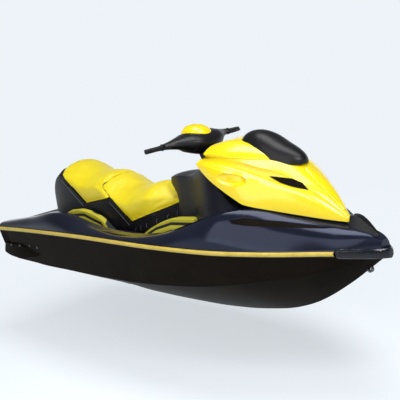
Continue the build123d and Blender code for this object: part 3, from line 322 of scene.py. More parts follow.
finishes = {name: moulded(name, *row) for name, row in MOULDED.items()}
print(len(finishes), "moulded finishes")

# %% [markdown]
# ## Skins over the hard mouldings
# A CAD mesh arrives as loose triangles, which shade as facets. A copy whose doubled points are
# merged can shade smoothly, with the real edges kept sharp by their angle. The copy stands for
# the node, which stays behind for collision.

# %% Smooth skins
NODE_MERGE = 1e-5
CREASE = 32


def add_piece(name, bm, finish, body):
    """Turn a bmesh into a piece that rides on a body."""
    mesh = bpy.data.meshes.new(name)
    bm.to_mesh(mesh)
    bm.free()
    mesh.materials.append(finish)
    piece = bpy.data.objects.new(name, mesh)
    bpy.context.collection.objects.link(piece)
    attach(piece, body)
    return piece


def baked(piece):
    """Replace a piece's mesh by what its modifiers make of it."""
    made = bpy.data.meshes.new_from_object(piece.evaluated_get(bpy.context.evaluated_depsgraph_get()))
    piece.modifiers.clear()
    piece.data = made


def opened(piece):
    """A piece's mesh as a bmesh."""
    bm = bmesh.new()
    bm.from_mesh(piece.data)
    return bm


def merged(node):
    """A node's mesh with its doubled points merged."""
    bm = opened(frame["nodes"][node])
    bmesh.ops.remove_doubles(bm, verts=bm.verts, dist=NODE_MERGE)
    return bm


def shaded(piece, crease=CREASE):
    """Shade a piece smoothly, apart from edges that turn by more than crease degrees."""
    piece.data.shade_smooth()
    piece.data.set_sharp_from_angle(angle=radians(crease))


def smoothed(piece):
    """Shade a piece smoothly between its sharp edges, led by its largest faces."""
    shaded(piece)
    led = piece.modifiers.new("led_by_large_faces", "WEIGHTED_NORMAL")
    led.keep_sharp = True
    return piece


def skin(node, finish):
    """A smooth copy of a CAD node that stands for it."""
    piece = add_piece(node + "_skin", merged(node), finishes[finish], body_of[node])
    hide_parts(node)
    return smoothed(piece)


SKINS = {
    "bow_bumper": "gloss_bumper_tpu",
    "nose_cover": "satin_visor_abs",
    "console": "console_abs",
    "gauge_cluster": "grained_trim_abs",
    "storage_bin": "grained_trim_abs",
    "stern_mat": "black_bumper_rubber",
    "engine_block": "cast_aluminium",
    "sponsons": "black_gelcoat",
    # the bow eye takes the stainless darkened as painted shade
    "bow_eye": "stainless_painted_dim",
    "stern_eyes": "polished_stainless",
    "pump_housing": "cast_aluminium",
    "ride_plate": "cast_aluminium",
    "intake_grate": "cast_aluminium",
    "hood_vents": "black_gelcoat",
    "winglet_mirrors": "mirror_silvering",
    "seat_base": "black_marine_vinyl",
    "grab_handle": "grained_trim_abs",
    "steering_column": "grained_trim_abs",
    "handlebar_tube": "black_powder_coat",
    "control_levers": "grained_trim_abs",
    "impeller": "polished_stainless",
    "drive_shaft": "polished_stainless",
    "steering_nozzle": "cast_aluminium",
    "reverse_gate": "cast_aluminium",
}
skins = {node: skin(node, finish) for node, finish in SKINS.items()}
print(len(skins), "skins,", sum(len(piece.data.polygons) for piece in skins.values()), "faces")

# %% [markdown]
# ## Fair surfaces
# A boatbuilder calls a surface fair when light runs along it without a ripple. Gloss shows the
# facets of a CAD mesh, so the big glossy mouldings are lofted again, from the solids' sections or
# slightly fuller ones: an even grid is laid through them, and each row takes its shape from a
# smooth curve through the table. Subdividing the coarse sections would be quicker, but it shrinks
# the form.

# %% Lofting helpers
LOFT_MERGE = 1e-6


def grade(rows, k, column):
    """How steep a column is at row k: the mean of the spans beside it."""
    spans = [(rows[i], rows[i + 1]) for i in (k - 1, k) if 0 <= i < len(rows) - 1]
    return sum((b[column] - a[column]) / (b[0] - a[0]) for a, b in spans) / len(spans)


def faired(rows, count):
    """A table of sections filled in to count rows, along smooth curves through all of them."""
    filled = []
    for step in range(count):
        x = rows[0][0] + (rows[-1][0] - rows[0][0]) * step / (count - 1)
        k = max(i for i in range(len(rows) - 1) if rows[i][0] <= x + LOFT_MERGE)
        span = rows[k + 1][0] - rows[k][0]
        t = (x - rows[k][0]) / span
        ends = (2 * t**3 - 3 * t**2 + 1, 3 * t**2 - 2 * t**3)
        pulls = ((t**3 - 2 * t**2 + t) * span, (t**3 - t**2) * span)
        row = [
            ends[0] * rows[k][c]
            + ends[1] * rows[k + 1][c]
            + pulls[0] * grade(rows, k, c)
            + pulls[1] * grade(rows, k + 1, c)
            for c in range(1, len(rows[0]))
        ]
        filled.append([x] + row)
    return filled


def arc(start, end, rise, steps, first=0.0):
    """Points of a circular arc that stands out by rise, from its share first onwards."""
    start, end = Vector(start), Vector(end)
    chord = end - start
    out = Vector((chord.y, -chord.x)).normalized()
    radius = (chord.length_squared / 4 + rise**2) / (2 * rise)
    half = 2 * atan(2 * rise / chord.length)
    angles = [half * (2 * (first + (1 - first) * i / steps) - 1) for i in range(steps + 1)]
    middle = (start + end) / 2 - out * (radius - rise)
    return [middle + (chord.normalized() * sin(a) + out * cos(a)) * radius for a in angles]


def straight(start, end, steps):
    """Points of a line, without its last."""
    return [Vector(start).lerp(Vector(end), i / steps) for i in range(steps)]


def whole(half):
    """A half section, from its outer edge to the centre line, and its mirror image."""
    return [(-y, z) for y, z in half] + [(y, z) for y, z in reversed(half[:-1])]


def across(x, points):
    """A ring of a loft along the craft, in metres."""
    return [Vector((x, y, z)) / 1000 for y, z in points]


def lofted(rings, caps=(), bm=None):
    """A grid of quads through rings of points, closed by a face at the rows in caps."""
    bm = bm or bmesh.new()
    columns, rows = len(rings[0]) - 1, len(rings) - 1
    made = bmesh.ops.create_grid(bm, x_segments=columns, y_segments=rows, size=1)["verts"]
    grid = {(round((v.co.y + 1) / 2 * rows), round((v.co.x + 1) / 2 * columns)): v for v in made}
    for (row, column), vert in grid.items():
        vert.co = rings[row][column]
    for row in caps:
        bm.faces.new([grid[row % (rows + 1), column] for column in range(columns + 1)])
    bmesh.ops.remove_doubles(bm, verts=bm.verts, dist=LOFT_MERGE)
    bmesh.ops.recalc_face_normals(bm, faces=bm.faces)
    return bm


def closed_loft(ring, sections, count):
    """A loft of count rings through a table of sections, closed at both ends."""
    return lofted([ring(*row) for row in faired(sections, count)], caps=[0, -1])


def eased(piece, width_mm, segments=3):
    """Round a piece's sharp edges, as a mould's edges are."""
    shaded(piece)
    ease = piece.modifiers.new("eased_edges", "BEVEL")
    ease.width, ease.segments = width_mm / 1000, segments
    ease.limit_method, ease.angle_limit = "ANGLE", radians(CREASE)
    ease.harden_normals = True
    return piece


def moulding(node, bm, finish):
    """A fair loft that stands for a CAD node."""
    piece = add_piece(node + "_moulding", bm, finishes[finish], body_of[node])
    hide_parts(node)
    return piece


bow = arc((50, 0), (-50, 0), 10, 2)
print("an arc of rise 10 on 100:", [tuple(round(c, 1) for c in point) for point in bow])

# %% [markdown]
# ## The hood
# The hood is one hand-laid shell: a flank that bulges from the lower edge to a crease, a ledge, a
# hollow cheek up to the brow and a crowned top. Each of those is a run of points in one section.
# The shell gets its thickness from Solidify, and the side vents are cut with a Boolean, as a
# router would cut them.

# %% Hood shell
HOOD_TIP, HOOD_KNEE, HOOD_NOSE = (425, 668), (787, 477), (1283, 356)
HOOD_LAP, HOOD_BULGE, HOOD_SHELL = 24, 0.07, 0.012
HOOD_HOLLOW = 0.65
HOOD_RINGS = 128
FLANK_STEPS, CHEEK_STEPS, CROWN_STEPS = 18, 8, 16
# Columns: x, lower edge half width, crease half width and z, step, brow half width and z, crown z
HOOD_SECTIONS = [
    (425, 252, 242, 682, 2, 216, 694, 704),
    (560, 284, 266, 662, 10, 206, 706, 736),
    (720, 286, 252, 630, 20, 194, 690, 732),
    (820, 272, 228, 602, 20, 178, 664, 714),
    (940, 208, 190, 560, 16, 138, 630, 682),
    (1080, 132, 122, 504, 9, 86, 552, 582),
    (1180, 76, 68, 440, 4, 46, 466, 490),
    (1276, 12, 10, 368, 1, 8, 374, 380),
]
SCOOP_CENTRE, SCOOP_HALF = (706, 606), (92, 30)
SCOOP_FALL, SCOOP_DEPTH, SCOOP_FLANK_Y = 0.12, 22, 0.1
VENT_OUTLINE = [(898, 612), (1013, 594), (1060, 568), (1092, 530), (1023, 552), (962, 576)]
ROUTER_NEAR, ROUTER_REACH = 0.03, 0.3


def hood_edge_z(x):
    """Height of the hood's lower edge."""
    (x0, z0), (x1, z1) = (HOOD_TIP, HOOD_KNEE) if x < HOOD_KNEE[0] else (HOOD_KNEE, HOOD_NOSE)
    return z0 + (z1 - z0) * (x - x0) / (x1 - x0)


def hood_ring(x, edge_y, crease_y, crease_z, step, brow_y, brow_z, crown_z):
    """One section of the hood."""
    foot = Vector((edge_y, hood_edge_z(x) - HOOD_LAP))
    crease = Vector((crease_y, crease_z))
    brow = Vector((brow_y, brow_z))
    bulge, lap = HOOD_BULGE * (crease - foot).length, HOOD_LAP / (crease.y - foot.y)
    flank = arc(foot, crease, bulge, FLANK_STEPS, lap)
    cheek = arc(crease + Vector((-step, step / 2)), brow, -HOOD_HOLLOW * step, CHEEK_STEPS)[:-1]
    crown = arc(brow, (-brow_y, brow_z), crown_z - brow_z, CROWN_STEPS)[: CROWN_STEPS // 2 + 1]
    crown[-1].x = 0
    return across(x, whole(flank + cheek + crown))


def scooped(bm):
    """Press an oval scoop into both flanks, steepest at its rim."""
    (cx, cz), (half_x, half_z) = SCOOP_CENTRE, SCOOP_HALF
    for vert in bm.verts:
        x = vert.co.x * 1000 - cx
        z = vert.co.z * 1000 - cz + x * SCOOP_FALL
        reach = (x / half_x) ** 2 + (z / half_z) ** 2
        if reach < 1 and abs(vert.co.y) > SCOOP_FLANK_Y:
            vert.co.y *= 1 - SCOOP_DEPTH * (1 - reach**3) / abs(vert.co.y * 1000)
    return bm


hood_bm = scooped(closed_loft(hood_ring, HOOD_SECTIONS, HOOD_RINGS))
hood = moulding("hood_lower", hood_bm, "yellow_gelcoat")
shell = hood.modifiers.new("shell", "SOLIDIFY")
shell.thickness, shell.offset = HOOD_SHELL, -1
bm = bmesh.new()
for side in (-1, 1):
    corners = [bm.verts.new((x / 1000, side * ROUTER_NEAR, z / 1000)) for x, z in VENT_OUTLINE]
    outline = bm.faces.new(corners)
    pushed = bmesh.ops.extrude_face_region(bm, geom=[outline])["geom"]
    moved = [item for item in pushed if isinstance(item, bmesh.types.BMVert)]
    bmesh.ops.translate(bm, verts=moved, vec=(0, side * ROUTER_REACH, 0))
bmesh.ops.recalc_face_normals(bm, faces=bm.faces)
router = add_piece("vent_router", bm, finishes["yellow_gelcoat"], "hood_body")
cut = hood.modifiers.new("vents", "BOOLEAN")
cut.operation, cut.solver, cut.object = "DIFFERENCE", "EXACT", router
baked(hood)
bpy.data.objects.remove(router)
eased(hood, width_mm=2.5)
print("hood", len(hood.data.polygons), "faces")

# %% [markdown]
# ## Ridge, winglets and visor
# A ridge stiffens the hood's nose, the winglets on top carry the mirrors and shed spray, and the
# visor is a separate pebble of satin ABS. All are simple lofts whose edges are eased, because a
# mould can't hold a sharp one.

# %% Ridge, winglets and visor
RIDGE_RINGS, WING_RINGS, VISOR_RINGS = 24, 40, 90
RIDGE_ROUND = 8
WING_BULGE, WING_STEPS, WING_UNDER_STEPS = 7, 6, 3
WING_CROWN, WING_SHOULDER = 3, 2
VISOR_STEPS, VISOR_FLOOR_STEPS = 26, 8
# Columns: x, half width, top z and depth
RIDGE_SECTIONS = [(1022, 22, 634, 14), (1090, 36, 588, 25), (1180, 28, 504, 29), (1246, 10, 424, 29)]
# Columns: x, wing tip half width and z, top half width and z, underside half width and z
WING_SECTIONS = [
    (462, 224, 728, 132, 766, 196, 704),
    (550, 218, 722, 116, 782, 196, 694),
    (660, 196, 710, 100, 774, 182, 680),
    (770, 156, 700, 90, 746, 146, 662),
    (860, 104, 686, 70, 708, 98, 646),
]
# Columns: x, half width, foot z, crown z and rise of the floor, which clears the hood's inside
VISOR_SECTIONS = [
    (596, 30, 778, 788, 1),
    (612, 64, 768, 806, 1),
    (690, 94, 746, 828, 1),
    (780, 108, 716, 812, 4),
    (870, 104, 684, 768, 15),
    (945, 82, 660, 733, 15),
    (985, 56, 652, 709, 3),
    (1008, 26, 650, 688, 1),
    (1016, 8, 654, 674, 1),
]


def ridge_ring(x, half, top, depth):
    """One section of the ridge, sunk into the hood and closed underneath."""
    ring = whole([(half, top - depth), (half, top - RIDGE_ROUND), (half / 2, top), (0, top)])
    return across(x, ring + ring[:1])


def wing_ring(x, tip_y, tip_z, top_y, top_z, under_y, under_z):
    """One section of the winglets, closed underneath."""
    under = [(0, under_z)] + straight((under_y, under_z), (tip_y, tip_z), WING_UNDER_STEPS)
    rise = arc((tip_y, tip_z), (top_y, top_z), WING_BULGE, WING_STEPS)
    ring = whole(under + rise + [(top_y / 2, top_z + WING_SHOULDER), (0, top_z + WING_CROWN)])
    return across(x, ring + ring[:1])


def visor_ring(x, half, foot_z, crown_z, floor_rise):
    """One section of the visor, closed underneath."""
    crown = arc((half, foot_z), (-half, foot_z), crown_z - foot_z, VISOR_STEPS)
    floor = arc((-half, foot_z), (half, foot_z), -floor_rise, VISOR_FLOOR_STEPS)
    return across(x, crown + floor[1:])


ridge_bm = closed_loft(ridge_ring, RIDGE_SECTIONS, RIDGE_RINGS)
ridge = add_piece("hood_ridge", ridge_bm, finishes["yellow_gelcoat"], "hood_body")
wings = moulding("hood_upper", closed_loft(wing_ring, WING_SECTIONS, WING_RINGS), "yellow_gelcoat")
visor = moulding("visor", closed_loft(visor_ring, VISOR_SECTIONS, VISOR_RINGS), "satin_visor_abs")
for piece, width in ((ridge, 4), (wings, 6), (visor, 5)):
    eased(piece, width)
print([(piece.name, len(piece.data.polygons)) for piece in (ridge, wings, visor)])

# %% [markdown]
# ## Handlebar cowl
# The cowl hides the handlebar's clamp and is widest in the middle, with an arm to each grip. Its
# sections are ellipses across the craft. The yellow cap on top is a dome, so its ellipses are
# stacked upwards instead.

# %% Cowl and cap
# Columns: y, centre x and z, half length and half height
COWL_SECTIONS = [
    (-256, 166, 766, 24, 17),
    (-205, 172, 766, 42, 24),
    (-150, 182, 766, 76, 36),
    (-85, 192, 758, 114, 58),
    (0, 196, 748, 128, 70),
    (85, 192, 758, 114, 58),
    (150, 182, 766, 76, 36),
    (205, 172, 766, 42, 24),
    (256, 166, 766, 24, 17),
]
# Columns: z, centre x, half length and half width
CAP_SECTIONS = [
    (786, 180, 104, 92),
    (806, 177, 99, 86),
    (830, 172, 84, 71),
    (845, 168, 62, 51),
    (853, 166, 38, 31),
    (857, 165, 4, 3),
]
COWL_RINGS, CAP_RINGS, ROUND_STEPS = 49, 60, 32
ROUND = [2 * pi * i / ROUND_STEPS for i in range(ROUND_STEPS + 1)]


def cowl_ring(y, x, z, half_length, half_height):
    """One ellipse of the cowl."""
    return [Vector((x + half_length * cos(a), y, z + half_height * sin(a))) / 1000 for a in ROUND]


def cap_ring(z, x, half_length, half_width):
    """One ellipse of the cap."""
    return [Vector((x + half_length * cos(a), half_width * sin(a), z)) / 1000 for a in ROUND]


cowl = moulding("handlebar_cover", closed_loft(cowl_ring, COWL_SECTIONS, COWL_RINGS), "satin_visor_abs")
cap = moulding("handlebar_cap", closed_loft(cap_ring, CAP_SECTIONS, CAP_RINGS), "yellow_gelcoat")
eased(cowl, width_mm=3)
cap.data.shade_smooth()
print("cowl and cap", len(cowl.data.polygons), len(cap.data.polygons))

# %% [markdown]
# ## Grips
# A rubber grip is moulded with rings, so that wet gloves hold. Each one is a loft along its own
# axis whose radius steps in and out, ending in a flange that keeps the thumb off the cowl.

# %% Ribbed grips
BAR_END, BAR_BEND = Vector((0.146, 0.372, 0.760)), Vector((0.169, 0.242, 0.766))
GRIP_LENGTH, GRIP_FLANGE = 0.112, 0.006
GRIP_R, GRIP_FLANGE_R, GRIP_RIB = 0.0132, 0.020, 0.0016
GRIP_STEPS, GRIP_RIB_STEPS = 56, 4

bm = bmesh.new()
for side in (-1, 1):
    mirror = Matrix.Diagonal((1, side, 1))
    inward = (BAR_BEND - BAR_END).normalized()
    flat = inward.cross(Vector((0, 0, 1))).normalized()
    rings = []
    for step in range(GRIP_STEPS + 1):
        along = GRIP_LENGTH * step / GRIP_STEPS
        radius = GRIP_R + (GRIP_RIB if step % GRIP_RIB_STEPS < GRIP_RIB_STEPS / 2 else 0)
        if along > GRIP_LENGTH - GRIP_FLANGE:
            radius = GRIP_FLANGE_R
        middle = BAR_END + inward * along
        circle = [(flat * cos(a) + inward.cross(flat) * sin(a)) * radius for a in ROUND]
        rings.append([mirror @ (middle + point) for point in circle])
    lofted(rings, caps=[0, -1], bm=bm)
grips = moulding("handlebar_grips", bm, "black_bumper_rubber")
eased(grips, width_mm=0.5, segments=2)
print("grips", len(grips.data.polygons), "faces")

# %% [markdown]
# ## Deck and hull sides
# The sides are what catches the light along the whole craft, from the rail up over the deck's rim
# and from the chine up to the rail. They are lofted over the solids' own stations, and the facets
# of the solids that lie behind them are deleted from the copies, so that the two don't fight for
# the same place.

# %% Fair deck and hull sides
# Columns: x, keel z, chine half width and z, rail half width, rim half width and z
BODY_SECTIONS = [
    (-1495, -270, 455, -30, 505, 458, 228),
    (-1100, -270, 465, -30, 525, 462, 292),
    (-760, -270, 470, -28, 538, 462, 350),
    (-400, -270, 472, -22, 545, 468, 298),
    (-50, -270, 468, -12, 549, 474, 276),
    (300, -257, 444, 8, 534, 462, 318),
    (690, -208, 390, 48, 468, 372, 440),
    (850, -164, 338, 72, 410, 262, 452),
    (1030, -80, 256, 100, 322, 168, 408),
    (1250, 60, 130, 146, 184, 66, 350),
    (1400, 170, 56, 186, 92, 38, 318),
    (1480, 218, 18, 206, 34, 16, 290),
]
SHEER_END, SHEER_STERN, SHEER_MID, SHEER_BOW = 1545, 188, 258, 218
DECK_FLANGE, DECK_BULGE, RIM_WIDTH = 9, 0.13, 44
RIM_LIFT = 0.5
PLATFORM_Z = 205
WELL_HALF, WELL_TOE_X = 414, 420
BODY_RINGS, DECK_STEPS, HULL_STEPS = 170, 16, 6
HULL_STERN_X = -1400


def sheer_z(x):
    """Height of the bonded seam under the rail."""
    droop = SHEER_MID - (SHEER_BOW + SHEER_STERN) / 2
    return SHEER_MID + (SHEER_BOW - SHEER_STERN) * x / (2 * SHEER_END) - droop * (x / SHEER_END) ** 2


def deck_side(side, x, keel_z, chine_y, chine_z, rail_y, rim_y, rim_z):
    """One section of a deck side, from under the rail to just inside the rim."""
    rail, rim = Vector((rail_y, sheer_z(x) + DECK_FLANGE)), Vector((rim_y, rim_z))
    flank = arc(rail, rim, DECK_BULGE * (rim - rail).length, DECK_STEPS)
    inner = min(rim_y - RIM_WIDTH, WELL_HALF) if x < WELL_TOE_X else max(rim_y - RIM_WIDTH, 0)
    top_z = rim_z + RIM_LIFT
    top = [(rim_y - RIM_WIDTH / 3, top_z), (inner, top_z), (inner, min(PLATFORM_Z, rim_z))]
    return across(x, [(side * y, z) for y, z in [(rail_y, sheer_z(x))] + flank + top])


def hull_side(side, x, keel_z, chine_y, chine_z, rail_y, rim_y, rim_z):
    """One section of a hull side, from the chine to the sheer."""
    sheer = Vector((rail_y, sheer_z(x)))
    side_points = straight((chine_y, chine_z), sheer, HULL_STEPS) + [sheer]
    return across(x, [(side * y, z) for y, z in side_points])


print("sections of the sides at", [row[0] for row in BODY_SECTIONS])

# %% [markdown]
# ### What lies behind the fair sides
# A solid's facet is behind a fair side when it is near it and faces the same way. Beside the
# footwells the flat top of the rim goes as well, and near the stern, where the fair rim is fuller
# than the solid's, so does everything that doesn't face down. Distances alone would also take the
# footwell's walls.

# %% Facets that give way
SIDE_GAP, STERN_GAP, STERN_X = 0.02, 0.045, -0.72
SAME_WAY, NOT_LEVEL, LEVEL, NOT_DOWN = 0.9, 0.93, 0.9, -0.2


def gives_way(face, fair):
    """Whether a solid's facet lies behind the fair sides."""
    middle = face.calc_center_median()
    _, normal, _, gap = fair.find_nearest(middle)
    same_way = abs(normal.dot(face.normal)) > SAME_WAY
    outward = face.normal.y * middle.y > 0 and same_way and face.normal.z < NOT_LEVEL
    beside = abs(middle.y) > WELL_HALF / 1000 and middle.x < WELL_TOE_X / 1000
    top = beside and gap < SIDE_GAP and face.normal.z > LEVEL
    stern = beside and gap < STERN_GAP and middle.x < STERN_X and face.normal.z > NOT_DOWN
    return (gap < SIDE_GAP and outward) or top or stern


def sides(node, ring, rows, finish, caps=()):
    """Fair sides over a node, and a smooth copy of the rest of it."""
    bm = bmesh.new()
    for side in (-1, 1):
        lofted([ring(side, *row) for row in rows], caps=caps, bm=bm)
    fair = BVHTree.FromBMesh(bm)
    piece = add_piece(node + "_sides", bm, finishes[finish], body_of[node])
    rest = merged(node)
    behind = [face for face in rest.faces if gives_way(face, fair)]
    bmesh.ops.delete(rest, geom=behind, context="FACES")
    copy = add_piece(node + "_skin", rest, finishes[finish], body_of[node])
    smoothed(copy)
    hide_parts(node)
    print(node, len(behind), "facets give way to", len(piece.data.polygons), "fair ones")
    return piece


fair_rows = faired(BODY_SECTIONS, BODY_RINGS)
hull_rows = [row for row in fair_rows if row[0] > HULL_STERN_X]
deck_sides = sides("deck", deck_side, fair_rows, "navy_gelcoat", caps=[0])
eased(sides("hull", hull_side, hull_rows, "black_gelcoat"), width_mm=2)

# %% [markdown]
# ## Groove
# A long dart-shaped groove is moulded into each side of the foredeck. A Boolean wants a closed
# solid, and the side is an open sheet, so the groove's outline is scored with one bisecting plane
# per edge, and the faces inside are then inset and sunk. Their floor is painted near-black, as
# painted shade in the recess.

# %% Groove in the deck sides
# Columns: x and z
GROOVE_OUTLINE = [
    (768, 417), (832, 425), (1017, 393), (1264, 343),
    (1200, 347), (1034, 367), (853, 387), (789, 398),
]
GROOVE_DEPTH, GROOVE_WALL, GROOVE_MARGIN = 0.0055, 0.003, 0.03
FLANK_LEVEL = 0.97


def within(x, z, outline):
    """Whether a point seen from the side lies inside an outline."""
    hit = False
    for (x0, z0), (x1, z1) in zip(outline, outline[1:] + outline[:1]):
        if (z0 > z) != (z1 > z) and x < x0 + (x1 - x0) * (z - z0) / (z1 - z0):
            hit = not hit
    return hit


bm = opened(deck_sides)
dart = [(x / 1000, z / 1000) for x, z in GROOVE_OUTLINE]
low_x, high_x = min(x for x, z in dart) - GROOVE_MARGIN, max(x for x, z in dart) + GROOVE_MARGIN
low_z, high_z = min(z for x, z in dart) - GROOVE_MARGIN, max(z for x, z in dart) + GROOVE_MARGIN


def flank_faces(test):
    """Faces of the flanks whose middle, seen from the side, passes a test."""
    found = []
    for face in bm.faces:
        middle = face.calc_center_median()
        if test(middle.x, middle.z) and abs(face.normal.z) < FLANK_LEVEL:
            found.append(face)
    return found


for (x0, z0), (x1, z1) in zip(dart, dart[1:] + dart[:1]):
    near = flank_faces(lambda x, z: low_x < x < high_x and low_z < z < high_z)
    edges = {edge for face in near for edge in face.edges}
    verts = {vert for face in near for vert in face.verts}
    scored = {"plane_co": (x0, 0, z0), "plane_no": (z1 - z0, 0, x0 - x1)}
    bmesh.ops.bisect_plane(bm, geom=near + list(edges | verts), dist=LOFT_MERGE, **scored)
bm.normal_update()
inside = flank_faces(lambda x, z: within(x, z, dart))
bmesh.ops.inset_region(bm, faces=inside, thickness=GROOVE_WALL, depth=-GROOVE_DEPTH, use_even_offset=True)
# The groove's floor takes the near-black gelcoat: painted shade in the recess
for face in inside:
    face.material_index = 1
bm.to_mesh(deck_sides.data)
bm.free()
# Second slot: the near-black gelcoat used as painted shade in the groove
deck_sides.data.materials.append(finishes["black_gelcoat"])
eased(deck_sides, width_mm=2, segments=2)
print("groove", len(inside), "faces")

# %% [markdown]
# ## Rub rails
# The rub rail takes the knocks of a quay. It is a black extrusion with a yellow bead pressed into
# it. A bevelled curve would give a round bar, and these are flatter, so each is a loft of one arc.

# %% Rub rails with a yellow bead
RAIL_BOW_X = 1300
RAIL_HALF, RAIL_PROUD = 17, 10
BEAD_HALF, BEAD_PROUD, BEAD_RISE = 9.5, 17, 1
RAIL_SINK, RAIL_STEPS, RAIL_CREASE = 2, 10, 40


def rails(name, half, proud, finish, rise=0):
    """A rail along both sides: one arc standing out from the seam."""
    bm = bmesh.new()
    rows = [row for row in fair_rows if row[0] < RAIL_BOW_X]
    for side in (-1, 1):
        rings = []
        for x, _, _, _, rail_y, _, _ in rows:
            y, z = rail_y - RAIL_SINK, sheer_z(x) + rise
            curve = arc((y, z - half), (y, z + half), proud + RAIL_SINK, RAIL_STEPS)
            rings.append(across(x, [(side * point.x, point.y) for point in curve + curve[:1]]))
        lofted(rings, caps=[0, -1], bm=bm)
    piece = add_piece(name, bm, finishes[finish], "hull_body")
    shaded(piece, RAIL_CREASE)
    return piece


rail_base = rails("rub_rail_base", RAIL_HALF, RAIL_PROUD, "black_bumper_rubber")
rail_bead = rails("rub_rail_bead", BEAD_HALF, BEAD_PROUD, "yellow_rail_vinyl", rise=BEAD_RISE)
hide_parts("rub_rails")
print("rails", len(rail_base.data.polygons) + len(rail_bead.data.polygons), "faces")

# %% [markdown]
# ## Stem
# The forefoot parts the water, and is fuller than the solid's straight frames. Sculpting the copy
# would leave dents in the gloss, so a second bottom with bulging frames is lofted close under it.

# %% Fuller stem
# Columns: x, keel z, chine half width and z
STEM_SECTIONS = [
    (-250, -271, 471, -18),
    (-50, -271, 469, -12),
    (300, -258, 445, 8),
    (690, -210, 391, 48),
    (850, -174, 339, 72),
    (1030, -104, 257, 100),
    (1250, 30, 131, 146),
    (1400, 140, 57, 186),
    (1480, 200, 19, 207),
]
CHINE_FLAT_SHARE = 34 / 470
STEM_BULGE = 0.03
STEM_RINGS, STEM_STEPS = 90, 10


def stem_ring(x, keel_z, chine_y, chine_z):
    """One section of the forefoot, from chine to chine."""
    flat_y = chine_y * (1 - CHINE_FLAT_SHARE)
    keel = Vector((0, keel_z))
    side = Vector((flat_y, chine_z))
    curve = arc(keel, side, STEM_BULGE * (side - keel).length, STEM_STEPS)
    return across(x, whole([(chine_y, chine_z)] + curve[::-1]))


stem_bm = lofted([stem_ring(*row) for row in faired(STEM_SECTIONS, STEM_RINGS)])
stem = add_piece("hull_stem", stem_bm, finishes["black_gelcoat"], "hull_body")
eased(stem, width_mm=4)
print("stem", len(stem.data.polygons), "faces")

# %% [markdown]
# ## The cushions
# A seat cushion is foam under stretched vinyl: the cover pulls its edges in and the foam pushes
# the middle out. The solid is drawn in, remeshed into even squares and blown up as cloth under a
# little pressure, with the underside held where it rests on the base. How far a point may move is
# capped, because real foam is firm.

# %% Stuffed cushions by cloth simulation
PAD_VOXEL = 0.007
PAD_DRAWN_IN = 0.005
PAD_CAP = 0.026
PAD_FRAMES = 20
PAD_PRESSURE = 4.0
PAD_EVEN, PAD_SETTLE = 6, 4
PAD_UNDERSIDE = -0.2


def relaxed(piece, times):
    """Move each point of a piece half way to the middle of its neighbours, so many times."""
    bm = opened(piece)
    axes = {"use_axis_x": True, "use_axis_y": True, "use_axis_z": True}
    for _ in range(times):
        bmesh.ops.smooth_vert(bm, verts=bm.verts, factor=0.5, **axes)
    bm.to_mesh(piece.data)
    bm.free()


def cushion(node, finish):
    """A stuffed cushion grown from a CAD solid."""
    bm = merged(node)
    bm.normal_update()
    for vert in bm.verts:
        vert.co -= vert.normal * PAD_DRAWN_IN
    piece = add_piece(node + "_pad", bm, finishes[finish], body_of[node])
    remesh = piece.modifiers.new("even_squares", "REMESH")
    remesh.mode, remesh.voxel_size, remesh.use_smooth_shade = "VOXEL", PAD_VOXEL, True
    baked(piece)
    relaxed(piece, PAD_EVEN)
    start = [vert.co.copy() for vert in piece.data.vertices]
    underside = [vert.index for vert in piece.data.vertices if vert.normal.z < PAD_UNDERSIDE]
    piece.vertex_groups.new(name="rest").add(underside, 1.0, "REPLACE")
    cloth = piece.modifiers.new("stuffing", "CLOTH")
    cloth.settings.use_pressure = True
    cloth.settings.uniform_pressure_force = PAD_PRESSURE
    cloth.settings.vertex_group_mass = "rest"
    cloth.settings.effector_weights.gravity = 0
    for number in range(1, PAD_FRAMES + 1):
        bpy.context.scene.frame_set(number)
    baked(piece)
    bpy.context.scene.frame_set(1)
    for vert, place in zip(piece.data.vertices, start):
        move = vert.co - place
        if move.length > PAD_CAP:
            vert.co = place + move.normalized() * PAD_CAP
    relaxed(piece, PAD_SETTLE)
    piece.data.materials.clear()
    piece.data.materials.append(finishes[finish])
    piece.data.shade_smooth()
    round_off = piece.modifiers.new("round_off", "SUBSURF")
    round_off.levels = round_off.render_levels = 1
    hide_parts(node)
    return piece


pads = [cushion(node, "yellow_marine_vinyl") for node in ("driver_cushion", "passenger_cushion")]
print([(pad.name, len(pad.data.polygons)) for pad in pads])

# %% [markdown]
# ## Beads laid on a surface
# A seat cover is sewn from panels, and a welt hides each seam that shows. The lines are known
# from the side, so rays are cast at the finished cushions to find where each one lies on them,
# and a round bead is swept through those places. Modelling the bead on the flat pattern first and
# bending it round would take more steps and fit less well.

# %% Rays and beads
RAY_FROM, SEAT_LEAST_Y = 0.6, 0.05


def surface(bm):
    """A bmesh as a surface that rays can be cast at."""
    tree = BVHTree.FromBMesh(bm)
    bm.free()
    return tree


def cast(trees, start, way):
    """The nearest place that a ray meets on any of the surfaces."""
    hits = [tree.ray_cast(start, way) for tree in trees]
    hits = [(hit[3], hit[0], hit[1]) for hit in hits if hit[0] is not None]
    return min(hits, key=lambda hit: hit[0])[1:] if hits else None


def side_places(trees, line, side, lift, steps=8):
    """Places on the surfaces along a line drawn on the side view, in metres, a little proud."""
    places = []
    for (x0, z0), (x1, z1) in zip(line, line[1:]):
        for i in range(steps):
            x, z = (x0 + (x1 - x0) * i / steps) / 1000, (z0 + (z1 - z0) * i / steps) / 1000
            hit = cast(trees, Vector((x, side * RAY_FROM, z)), Vector((0, -side, 0)))
            if hit and hit[0].y * side > SEAT_LEAST_Y:
                places.append(hit[0] + hit[1] * lift)
    return places


